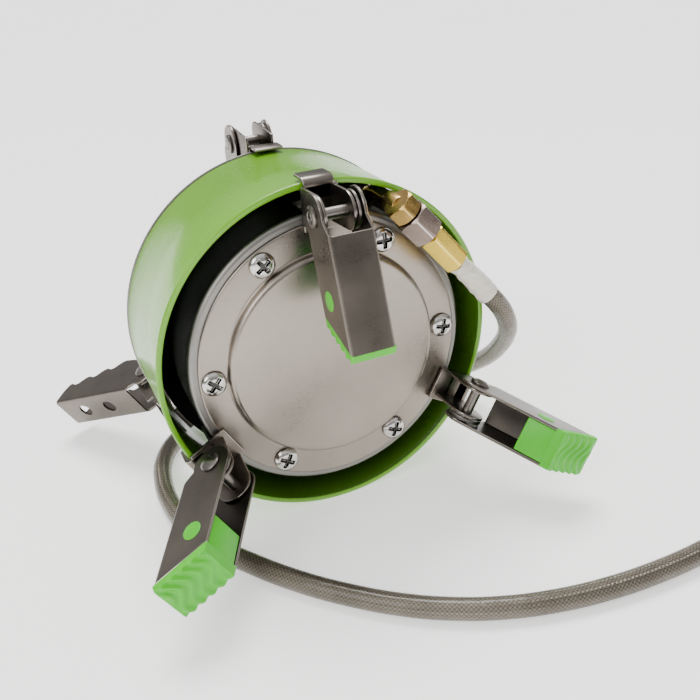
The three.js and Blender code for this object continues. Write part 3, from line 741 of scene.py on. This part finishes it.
# %% Burner plate, screen and cap
PLATE_BOTTOM, PLATE_MIDDLE, PLATE_TOP = 24.9, 25.3, 25.7
FLAME_HOLE_RADIUS = 0.95
plate = spun([(0, PLATE_BOTTOM), (36.9, PLATE_BOTTOM), (36.9, PLATE_TOP), (0, PLATE_TOP)],
             128, width=0.2)
drills = bmesh.new()
for ring_radius, count in ((18.5, 26), (22.4, 32), (26.3, 38), (30.2, 44), (34.0, 50)):
    for k in range(count):
        angle = 2 * pi * (k + (ring_radius > 20) * 0.5) / count
        place = shift(ring_radius * cos(angle), ring_radius * sin(angle), PLATE_MIDDLE)
        rod(drills, FLAME_HOLE_RADIUS, 3, 10, place)
finished("burner_face", cut_away(plate, drills), STOVE, FLAME_STEEL, "burner_plate")
finished("screen", spun([(0, 24), (35.9, 24), (35.9, 24.6), (0, 24.6)], 96, width=0.1), STOVE,
         FLAME_STEEL, "flame_mesh")
cap = [(0, 26), (14.3, 26), (14.9, 26.3), (15, 26.9), (13.8, 27.8), (12, 28.6), (9, 29.3),
       (6, 29.6), (4.5, 29.4), (0, 29.4)]
finished("cap", spun(cap, 72), STOVE, SATIN, "burner_cap")
finished("cap_screw", moved(cross_screw(3, 1.7), turn_x(180)), STOVE @ shift(0, 0, 30.1),
         BRIGHT, "burner_cap_screw")

# %% [markdown]
# Gas comes in through a bent pipe, a jet and a mixing tube. They can only be seen through the gap
# and the air holes, but they are there on the real stove. A pipe is a curve with a round bevel,
# turned into a mesh.

# %% Gas pipe, jet and mixing tube
def pipe_along(points, radius, resolution=8, sides=6):
    """A closed round pipe through the points."""
    line, _ = equal_steps(smooth_curve("pipe", points, resolution), radius * 0.7)
    mesh = tube_mesh(line, radius, sides)
    bm = bmesh.new()
    bm.from_mesh(mesh)
    bpy.data.meshes.remove(mesh)
    fill_ends(bm)
    return faced_out(bm)


INLET_RADIUS = 46.1
GAS = at_azimuth(INLET_AZIMUTH)
GAS_AXIS = GAS @ shift(0, 0, PIPE_LEVEL)
bend = [(INLET_RADIUS, 0, -0.6), (INLET_RADIUS, 0, 3), (INLET_RADIUS, 0, 8), (44.7, 0, 12.2),
        (41.5, 0, PIPE_LEVEL), (36, 0, PIPE_LEVEL), (31, 0, PIPE_LEVEL)]
finished("gas_pipe", pipe_along(bend, 2.4), GAS, BRASS, "inlet_pipe")

CHAMFER_SHARE = 0.192


def hexagon(flats, low, high):
    """A hexagonal bar along X with turned, chamfered ends."""
    corner = flats / 3 ** 0.5
    bar = rod(bmesh.new(), corner, high - low, 6, shift(0, 0, (low + high) / 2))
    soften(bar, 0.15, 1)
    drop = corner * CHAMFER_SHARE
    inside, outside = flats / 2 - 0.15, corner + 0.3
    turned = spun([(0, low), (inside, low), (outside, low + drop), (outside, high - drop),
                   (inside, high), (0, high)], 48)
    return moved(cut_away(bar, turned, "INTERSECT"), turn_y(90))


finished("jet_seat", hexagon(8, 24.2, 30.7), GAS_AXIS, BRASS, "jet_holder")
finished("jet", moved(spun([(0, 20), (0.9, 20), (2.2, 22), (2.2, 23.9), (0, 23.9)], 24),
                      turn_y(90)), GAS_AXIS, BRASS, "gas_jet")
mixer = [(5.4, -14), (6.3, -14), (6.3, 16), (6.8, 17.6), (8, 19.5), (7.1, 19.5), (5.9, 17.4),
         (5.4, 16)]
finished("mixer", moved(spun(mixer, 48, closed=True), turn_y(90)), GAS_AXIS, PAN_STEEL,
         "mixing_tube")

# %% [markdown]
# ## Arms
#
# Legs and pot supports swing on the same kind of hinge: a folded channel of 0.8 mm sheet on a
# headed pin, pushed open by a coil spring round it, in a bracket bent over the drum's rim. A leg
# is cut off at a slant and filled by a nylon foot whose ribbed sole stands on the table. A
# support's two edges are cut into teeth so that a pot can't slide.

# %% Leg channel
ARM_HALF, SHEET, EDGE_DEPTH = 6.3, 0.8, 5.9
LEG_WEB, LEG_START, LEG_END, LEG_CUT = 8.5, 5.4, 35.8, 26.3
PLUG_U, PLUG_RADIUS = 21.8, 2.7
FOLD = 1.1
CHANNEL_SHADE = 0.6


def leg_channel():
    round_end = arc((0, 0), EDGE_DEPTH, 75, 270, 16)
    outline = [(LEG_CUT, -EDGE_DEPTH), (LEG_END, LEG_WEB), (LEG_START, LEG_WEB)] + round_end
    side, web = ARM_HALF - SHEET + 0.1, LEG_WEB - SHEET + 0.2
    # The channel's inner faces are painted darker: painted shade inside the channel.
    return darken_faces(folded(outline, ARM_HALF, LEG_WEB, SHEET, FOLD, 0.14),
                  lambda spot: CHANNEL_SHADE * (abs(spot.y) < side and spot.z < web))


# %% [markdown]
# The sole is a small grid. A copy of it is raised and waved by a sine along its length that
# swings to and fro across its width, as the moulded ribs do, and the flat grid closes it below.

# %% Nylon foot
slant = Vector((LEG_END - LEG_CUT, 0, LEG_WEB + EDGE_DEPTH))
slant_length = slant.length
slant_out = Vector((slant.z, 0, -slant.x)).normalized()
slant_frame = Matrix((slant.normalized(), Vector((0, 1, 0)), slant_out)).transposed().to_4x4()
SLANT = shift(LEG_CUT, 0, -EDGE_DEPTH) @ slant_frame
FLUSH = (LEG_END - LEG_CUT) / (LEG_WEB + EDGE_DEPTH)
RIBS, RIB_HEIGHT = 5, 0.33
SWAY, SWAY_WAVES = 0.1, 1.15
SOLE_THICKNESS, SOLE_DROP = 2.3, 2.16


def ribbed_sole():
    bm = bmesh.new()
    bmesh.ops.create_grid(bm, x_segments=60, y_segments=20, size=0.5)
    top = set(pushed_out(bm, bm.faces[:]))
    for v in bm.verts:
        along, across = v.co.x + 0.5, v.co.y
        sway = SWAY * sin(2 * pi * across * SWAY_WAVES + 0.6)
        wave = cos(2 * pi * RIBS * (along + sway))
        rim = min(1, 8 * min(along, 1 - along) + 0.1)
        swell = copysign(abs(wave) ** 0.8, wave) * RIB_HEIGHT * rim
        half, rise = ARM_HALF, -0.1
        if v in top:
            half += swell * 0.4
            rise = SOLE_THICKNESS + swell - SOLE_DROP * max(0, abs(across) - 0.42)
        start = FLUSH * rise
        v.co = (start + along * (slant_length - start), across * 2 * half, rise)
    return moved(soften(faced_out(bm), 0.35, 3, 65), SLANT)


def nylon_foot():
    inside = ARM_HALF - SHEET - 0.15
    top = LEG_WEB - SHEET - 0.2
    reach = [SLANT @ Vector((s, 0, 0.4)) for s in (0.4, slant_length - 1.5)]
    outline = [(17.6, -EDGE_DEPTH + 0.3)] + [(p.x, p.z) for p in reach]
    outline += [(34.4, top), (17.6, top)]
    body = soften(prism(outline, -inside, inside), 0.45, 3)
    plug = rod(bmesh.new(), PLUG_RADIUS, 2 * ARM_HALF + 0.3, 32)
    moved(soften(plug, 0.2), turn_x(90), shift(PLUG_U, 0, 0))
    return added(body, plug, ribbed_sole())


# %% [markdown]
# A support is the same channel turned over, with its web below. Its teeth are not saw teeth: each
# is a hump with a small notch behind it, so they are set out as a repeated run of four points.

# %% Pot support
SUPPORT_WEB, SUPPORT_START, SUPPORT_END = -8.1, 4.5, 42.5
TEETH, TOOTH_PITCH, TOOTH_RISE, TOOTH_DEPTH = 4, 8.55, 2.1, 1.1
HOLES_U = (18.5, 31.5)


def pot_support():
    tip_u, tip_v = SUPPORT_END - 3.4, SUPPORT_WEB + 8.7
    outline = [(SUPPORT_END, SUPPORT_WEB), (SUPPORT_END - 0.8, SUPPORT_WEB + 5.2)]
    outline += [(tip_u + 1.2, tip_v - 0.5), (tip_u, tip_v)]
    for tooth in range(TEETH - 1):
        u, v = tip_u - tooth * TOOTH_PITCH, tip_v + tooth * TOOTH_RISE
        outline += [(u - 2, v - TOOTH_DEPTH * 0.7), (u - 3.6, v - TOOTH_DEPTH * 0.5),
                    (u - TOOTH_PITCH + 1.8, v + TOOTH_RISE - 0.5),
                    (u - TOOTH_PITCH, v + TOOTH_RISE)]
    outline += [(9.5, EDGE_DEPTH + 0.6), (6.5, EDGE_DEPTH)]
    outline += arc((0, 0), EDGE_DEPTH, 90, 285, 16) + [(SUPPORT_START, SUPPORT_WEB)]
    channel = folded(outline, ARM_HALF, SUPPORT_WEB, SHEET, FOLD, 0.12)
    drills = bmesh.new()
    for u in HOLES_U:
        rod(drills, 2.6, 4, 32, shift(u, 0, SUPPORT_WEB))
    return cut_away(channel, drills)


# %% Hinge pin
def hinge_pin():
    side, head = ARM_HALF + 0.15, 2.9
    profile = [(0, -side - 0.85), (1.1, -side - 0.8), (1.3, -side - 0.45), (1.6, -side - 0.8),
               (head - 0.5, -side - 0.75), (head, -side - 0.4), (head, -side), (1.6, -side),
               (1.6, side), (head, side), (head, side + 0.4), (head - 0.5, side + 0.75),
               (0, side + 0.8)]
    return moved(spun(profile, 32), turn_x(-90))


# %% [markdown]
# The spring is a screw: a small circle spun round the pin's axis with a step sideways each time.
# It lies inside the channel, between one ear of the bracket and the channel's side, and only the
# tops of its coils look over the edge.

# %% Coil spring
SPRING_SIDE = 3.7
SPRING_TURNS, SPRING_LENGTH, SPRING_LEG = 2.2, 1.2, 2.5
COIL_RADIUS, SPRING_WIRE = 4.9, 0.26


def coil_spring():
    bm = bmesh.new()
    circle = bmesh.ops.create_circle(bm, cap_ends=False, segments=10, radius=SPRING_WIRE)["verts"]
    moved(bm, turn_x(90), shift(COIL_RADIUS, 0, 0))
    steps = int(SPRING_TURNS * 36)
    step_aside = (SPRING_LENGTH - 2 * SPRING_WIRE) / steps
    end = 2 * pi * SPRING_TURNS
    last = bmesh.ops.spin(
        bm, geom=circle + bm.edges[:], cent=(0, 0, 0), axis=(0, 0, 1), dvec=(0, 0, step_aside),
        angle=end, steps=steps, use_merge=False, use_normal_flip=False,
        use_duplicate=False)["geom_last"]
    end_edges = [e for e in last if isinstance(e, bmesh.types.BMEdge)]
    leg = bmesh.ops.extrude_edge_only(bm, edges=end_edges)["geom"]
    along_leg = Vector((-sin(end), cos(end), 0)) * SPRING_LEG
    bmesh.ops.translate(bm, verts=verts_in(leg), vec=along_leg)
    bmesh.ops.remove_doubles(bm, verts=bm.verts, dist=1e-4)
    fill_ends(bm)
    return moved(faced_out(bm), turn_x(-90), shift(0, SPRING_SIDE + 0.3 + SPRING_WIRE, 0))


# %% [markdown]
# A bracket is one strip, bent round the rim with a generous radius, with an ear turned up on
# each side for the pin. The legs' ears have round ends and the supports' ears square ones with
# rounded corners.

# %% Brackets
EAR_HALF, TAB_HALF = 5.2, 4.3
LEG_EAR_RADIUS = 5.3
EAR_CORNER, CORNER_OUT = 3, 2.3
LEG_PIN = (44.9, -12.1)
SUPPORT_PIN = (50.1, 58.3)


def ears(outline):
    return added(*[soften(prism(outline, y, y + SHEET), 0.2)
                   for y in (SPRING_SIDE - SHEET, -EAR_HALF)])


def bend_round(corner, radius, sheet, quarter):
    """The outer and the inner arc of a sheet bent through a right angle."""
    start, end = quarter
    return arc(corner, radius, start, end, 8), arc(corner, radius - sheet, end, start, 8)


def leg_bracket():
    top, bottom = -0.9, -1.9
    floor_plate = block((37.5, -EAR_HALF, bottom), (49.7, EAR_HALF, top), 0.2)
    outside, inside = bend_round((49.7, 0.3), 2.2, 1.0, (-90, 0))
    hook = [(46, bottom)] + outside + [(51.9, 5.2), (51.6, 5.7), (51.2, 5.7), (50.9, 5.3)]
    hook += inside + [(46, top + 0.2)]
    tab = soften(prism(hook, -TAB_HALF, TAB_HALF), 0.25)
    inner = block((42.2, -TAB_HALF, bottom), (43.1, TAB_HALF, 9), 0.14, 1)
    outline = [(39, top - 0.2), (49.8, top - 0.2)] + arc(LEG_PIN, LEG_EAR_RADIUS, 0, -180, 20)
    return added(floor_plate, tab, inner, ears(outline))


def support_bracket():
    bottom, top = 43.8, 44.7
    floor_plate = block((46.2, -EAR_HALF, bottom), (50.4, EAR_HALF, top), 0.2)
    outside, inside = bend_round((50.1, 42.9), 1.8, 0.9, (90, 0))
    hook = [(48.5, top)] + outside + [(51.9, 38), (51.6, 37.5), (51.2, 37.5), (51, 37.9)]
    hook += inside + [(48.5, bottom)]
    tab = soften(prism(hook, -TAB_HALF, TAB_HALF), 0.25)
    strap = block((47.2, -TAB_HALF, 26.3), (48.1, TAB_HALF, top), 0.14, 1)
    toe = block((38.6, -TAB_HALF, 26.3), (48.1, TAB_HALF, 27.2), 0.14, 1)
    pin_x, pin_z = SUPPORT_PIN
    outline = [(45.3, bottom + 0.2), (54.4, bottom + 0.2)]
    outline += arc((pin_x + CORNER_OUT, pin_z + CORNER_OUT), EAR_CORNER, 0, 90, 8)
    outline += arc((pin_x - CORNER_OUT, pin_z + CORNER_OUT), EAR_CORNER, 90, 180, 8)
    return added(floor_plate, tab, strap, toe, ears(outline))


# %% Put the arms on
ARMS = [("a", -90, 162.8, 174), ("b", 150, 55.4, 47.9), ("c", 30, 48, 174)]
for tag, azimuth, leg_angle, support_angle in ARMS:
    place = at_azimuth(azimuth)
    finished(f"bracket_low_{tag}", leg_bracket(), place, SHEET_STEEL, f"leg_bracket_{tag}")
    finished(f"bracket_top_{tag}", support_bracket(), place, SHEET_STEEL,
             f"support_bracket_{tag}")
    leg_place = hinge_frame(azimuth, *LEG_PIN, leg_angle)
    support_place = hinge_frame(azimuth, *SUPPORT_PIN, -support_angle)
    for kind, hinge in (("leg", leg_place), ("support", support_place)):
        finished(f"{kind}_axle_{tag}", hinge_pin(), hinge, PIN_STEEL, f"{kind}_pin_{tag}")
        finished(f"{kind}_coil_{tag}", coil_spring(), hinge, PIN_STEEL, f"{kind}_spring_{tag}")
    finished(f"leg_{tag}", leg_channel(), leg_place, SHEET_STEEL, f"leg_channel_{tag}",
             f"leg_{tag}")
    finished(f"foot_{tag}", nylon_foot(), leg_place, NYLON, f"leg_foot_{tag}", f"leg_{tag}")
    finished(f"support_{tag}", pot_support(), support_place, SHEET_STEEL, f"pot_support_{tag}",
             f"support_{tag}")

# %% [markdown]
# ## Fittings
#
# The gas enters through an elbow, a nut and a hose connector, all turned from hexagonal bar. A
# hexagon alone looks wrong: the ends of real nuts are chamfered on a lathe, which leaves curved
# corners. So each is a hexagonal bar, of which only what lies inside a turned shape is kept.

# %% Elbow, nut and connector
INLET_HEADING = 49.5
INLET = GAS @ shift(INLET_RADIUS, 0, -8) @ turn_z(INLET_HEADING - INLET_AZIMUTH)
CORNER_TO_VIEWER = turn_x(-22)
end_hex = moved(hexagon(8.3, -2.4, 2.7), CORNER_TO_VIEWER)
spigot = spun([(0, 0), (3, 0), (3, 7), (0, 7)], 40, width=0.2)
finished("elbow", added(end_hex, spigot), INLET, OLD_BRASS, "inlet_elbow")
finished("swivel_nut", hexagon(9.3, 3, 11.4), INLET @ CORNER_TO_VIEWER, NICKEL, "inlet_nut")
neck = moved(spun([(0, 24), (3.1, 24), (3.1, 25), (0, 25)], 40, width=0.2), turn_y(90))
finished("connector", added(hexagon(7.7, 11.7, 24.7), neck), INLET @ CORNER_TO_VIEWER, BRASS,
         "hose_connector")

# %% [markdown]
# The hose is crimped in a ferrule under a pale film that has crumpled. The creases are moves of
# the film's points in and out, by sines that run round it and along it, and at the hose's end one
# side of the film is drawn out into a loose point.

# %% Crimped sleeves
FILM_RADIUS, FILM_ROWS = 3.15, 60
CREASE_DEPTH = 0.045
FLAP_LENGTH, FLAP_ANGLE, FLAP_FLARE = 2.4, 2.4, 0.09
GROOVE_PLACE, GROOVE_HALF, GROOVE_DEPTH = 2.2, 0.6, 0.25


def crimped_sleeve(low, high):
    length = high - low
    profile = [(0, low), (2.8, low)]
    for k in range(FILM_ROWS + 1):
        x = low + length * k / FILM_ROWS
        groove = GROOVE_DEPTH * (abs(x - low - GROOVE_PLACE) < GROOVE_HALF)
        profile.append((FILM_RADIUS - groove, x))
    profile += [(2.6, high), (0, high)]
    bm = spun(profile, 64)
    for v in bm.verts:
        radius = hypot(v.co.x, v.co.y)
        if radius > 2.7:
            angle = atan2(v.co.y, v.co.x)
            part = (v.co.z - low) / length
            crease = abs(sin(3 * angle + 8 * part)) - 0.5 + 0.6 * sin(5 * angle - 21 * part)
            crease += 0.5 * sin(31 * part + 4 * sin(2 * angle))
            factor = 1 + CREASE_DEPTH * crease + 0.05 * sin(2 * angle + 5 * part)
            loose = max(0, (part - 0.75) / 0.25) * max(0, cos(angle - FLAP_ANGLE)) ** 3
            factor += FLAP_FLARE * loose
            v.co = (v.co.x * factor, v.co.y * factor, v.co.z + FLAP_LENGTH * loose)
    return moved(bm, turn_y(90))


finished("sleeve_at_stove", crimped_sleeve(25.3, 41.3), INLET, FILM, "hose_crimp_sleeve")

# %% [markdown]
# ## The canister valve
#
# At the hose's end is the valve: a brass body over a wide collar that seats on the canister's
# rim, a threaded socket with a rubber seal, and a knob on a stem with a folding wire handle.

# %% Valve body, nut and sleeve
valve_low, valve_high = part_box("canister_collar")
VALVE_HEADING, AXIS_HEIGHT = 50, 17.5
VALVE_CENTRE = ((valve_low.x + valve_high.x) / 2, (valve_low.y + valve_high.y) / 2, 0)
VALVE = Matrix.Translation(VALVE_CENTRE) @ turn_z(VALVE_HEADING) @ IN_MM
VALVE_AXIS = VALVE @ shift(0, 0, AXIS_HEIGHT)
barrel = [(0, 11.3), (8.5, 11.3), (8.5, 14), (7.4, 15), (7.4, 23), (6, 24.5), (0, 24.5)]
barrel = spun(barrel, 64, width=0.25)
inlet_arm = moved(spun([(0, -12.6), (4.6, -12.6), (4.6, 0), (0, 0)], 40, width=0.25), turn_y(90),
                  shift(0, 0, AXIS_HEIGHT))
bonnet = moved(hexagon(9, 2, 11), shift(0, 0, AXIS_HEIGHT))
finished("valve_block", added(barrel, inlet_arm, bonnet), VALVE, BRASS, "valve_body")
finished("valve_hose_nut", hexagon(11, -19, -12.9), VALVE_AXIS, BRASS, "valve_nut")
finished("sleeve_at_valve", crimped_sleeve(19.3, 31), VALVE_AXIS @ turn_z(180), FILM,
         "valve_crimp_sleeve")

# %% Collar with grip flutes
def rods_round(count, distance, height, radius, length, sides, start=0):
    """Bars along Z, evenly spaced on a circle."""
    bm = bmesh.new()
    for k in range(count):
        place = turn_z(360 / count * k + start) @ shift(distance, 0, height)
        rod(bm, radius, length, sides, place)
    return bm


collar_wall = [(8.6, 9), (8.6, 11), (17.3, 11), (18.1, 10.7), (18.5, 10), (18.5, 0.3), (18.2, 0),
               (17.1, 0), (16.9, 0.3), (16.9, 8.6), (16.5, 9)]
collar = spun(collar_wall, 144, closed=True)
flutes = rods_round(24, 19.0, 5.4, 0.9, 7.5, 12)
finished("collar", cut_away(collar, flutes), VALVE, ALUMINIUM, "canister_collar")
CREST, ROOT, THREAD_PITCH = 5.7, 6.2, 1.1
thread = [(8.2, 1.5), (8.2, 11), (CREST, 11)]
for k in range(8):
    height = 10.4 - THREAD_PITCH * k
    thread += [(CREST, height), (ROOT, height - 0.3), (ROOT, height - 0.55),
               (CREST, height - 0.85)]
thread += [(5.9, 1.5)]
finished("socket", spun(thread, 64, closed=True), VALVE, BRASS, "canister_socket")
seal = [(3.7 + 1.35 * cos(a), 10.2 + 0.6 * sin(a)) for a in (2 * pi * k / 16 for k in range(16))]
finished("seal", spun(seal, 48, closed=True), VALVE, RUBBER, "canister_seal", sharp=70)

# %% Stem, knob and wire handle
KNOB_X = 19.6
WIRE_RADIUS = 0.65
finished("stem", moved(spun([(0, 11.3), (1.8, 11.3), (1.8, 19.3), (0, 19.3)], 32, width=0.15),
                       turn_y(90)), VALVE_AXIS, BRIGHT, "valve_stem", "knob")
knob = spun([(0, 0), (6.2, 0), (6.8, 0.7), (6.8, 7.1), (6, 7.9), (0, 7.9)], 72)
knob = cut_away(knob, rods_round(20, 7.0, 2.9, 0.5, 4.6, 8, start=9))
knob = cut_away(knob, block((-8, -2, 3.1), (8, 2, 9)))
finished("knob_cap", soften(moved(knob, turn_z(90), turn_y(90)), 0.12, 1, 45),
         VALVE_AXIS @ shift(KNOB_X, 0, 0), ALUMINIUM, "control_knob", "knob")
pivot = KNOB_X + 5.5
half_wire = [(pivot, 4.3), (pivot, 6.6), (pivot + 1.6, 8.3), (pivot + 12, 7.4), (pivot + 21, 5.6)]
wire = [(x, y, 0) for x, y in half_wire] + [(pivot + 23.6, 0, 0)]
wire += [(x, -y, 0) for x, y in reversed(half_wire)]
finished("wire_handle", pipe_along(wire, WIRE_RADIUS, 10, 4), VALVE_AXIS, BRIGHT, "control_handle",
         "handle")

# %% [markdown]
# ## Floor and light
#
# The stove lies on a white sheet under broad, soft light. A sun with a wide disc, high up behind
# the stove, gives soft shadows towards the viewer, and a lamp fills from the left. Metal only
# looks like metal when it has something to reflect, and an even world makes it look like plaster,
# so the world is dim at the horizon and bright overhead. The sheet glows a little, which keeps it
# near white without brighter lamps washing out the stove's colours.

# %% Floor, lamps and world
floor_mesh = bmesh.new()
bmesh.ops.create_grid(floor_mesh, x_segments=1, y_segments=1, size=12)
floor_data = bpy.data.meshes.new("floor")
floor_mesh.to_mesh(floor_data)
floor_mesh.free()
floor_finish, floor_tree, floor_shader = new_finish("floor")
paper = mixed(floor_tree, spread(floor_tree, noise(floor_tree, 6, 3), 0, 1), (0.86, 0.855, 0.84),
              (0.89, 0.885, 0.875))
floor_tree.links.new(paper, floor_shader.inputs["Base Color"])
floor_shader.inputs["Roughness"].default_value = 0.6
floor_shader.inputs["Specular IOR Level"].default_value = 0.2
floor_shader.inputs["Emission Color"].default_value = (1, 0.99, 0.985, 1)
floor_shader.inputs["Emission Strength"].default_value = 0.8
floor_data.materials.append(floor_finish)
new_object("floor", floor_data)


FILL_PLACE, FILL_AIM = Vector((-0.7, -0.4, 0.6)), Vector((0, 0, 0.04))
SUN_DIRECTION = Vector((-0.12, -0.45, -0.9))
fill = bpy.data.lights.new("fill", "AREA")
fill.shape, fill.size, fill.energy = "DISK", 0.6, 4
key = bpy.data.lights.new("key", "SUN")
key.angle, key.energy = radians(30), 3.6
for lamp, place, direction in ((fill, FILL_PLACE, FILL_AIM - FILL_PLACE),
                               (key, Vector(), SUN_DIRECTION)):
    aimed = direction.to_track_quat("-Z", "Y").to_matrix().to_4x4()
    new_object(lamp.name, lamp).matrix_world = Matrix.Translation(place) @ aimed

HORIZON_STRENGTH, OVERHEAD_STRENGTH = 0.2, 1.1
world = bpy.data.worlds.new("world")
bpy.context.scene.world = world
world.use_nodes = True
sky = world.node_tree
background = sky.nodes["Background"]
background.inputs["Color"].default_value = (0.96, 0.96, 0.97, 1)
ray = sky.nodes.new("ShaderNodeTexCoord")
ray_parts = sky.nodes.new("ShaderNodeSeparateXYZ")
sky.links.new(ray.outputs["Generated"], ray_parts.inputs["Vector"])
strength = spread(sky, ray_parts.outputs["Z"], HORIZON_STRENGTH, OVERHEAD_STRENGTH, 0, 0.9)
sky.links.new(strength, background.inputs["Strength"])

# %% [markdown]
# ## Last steps
#
# The frame's nodes that still show in their plain colour are printed.

# %% Check and finish
left = sorted(name for name, node in nodes.items() if not node.hide_render)
print("frame nodes still shown:", left)
bpy.context.view_layer.update()
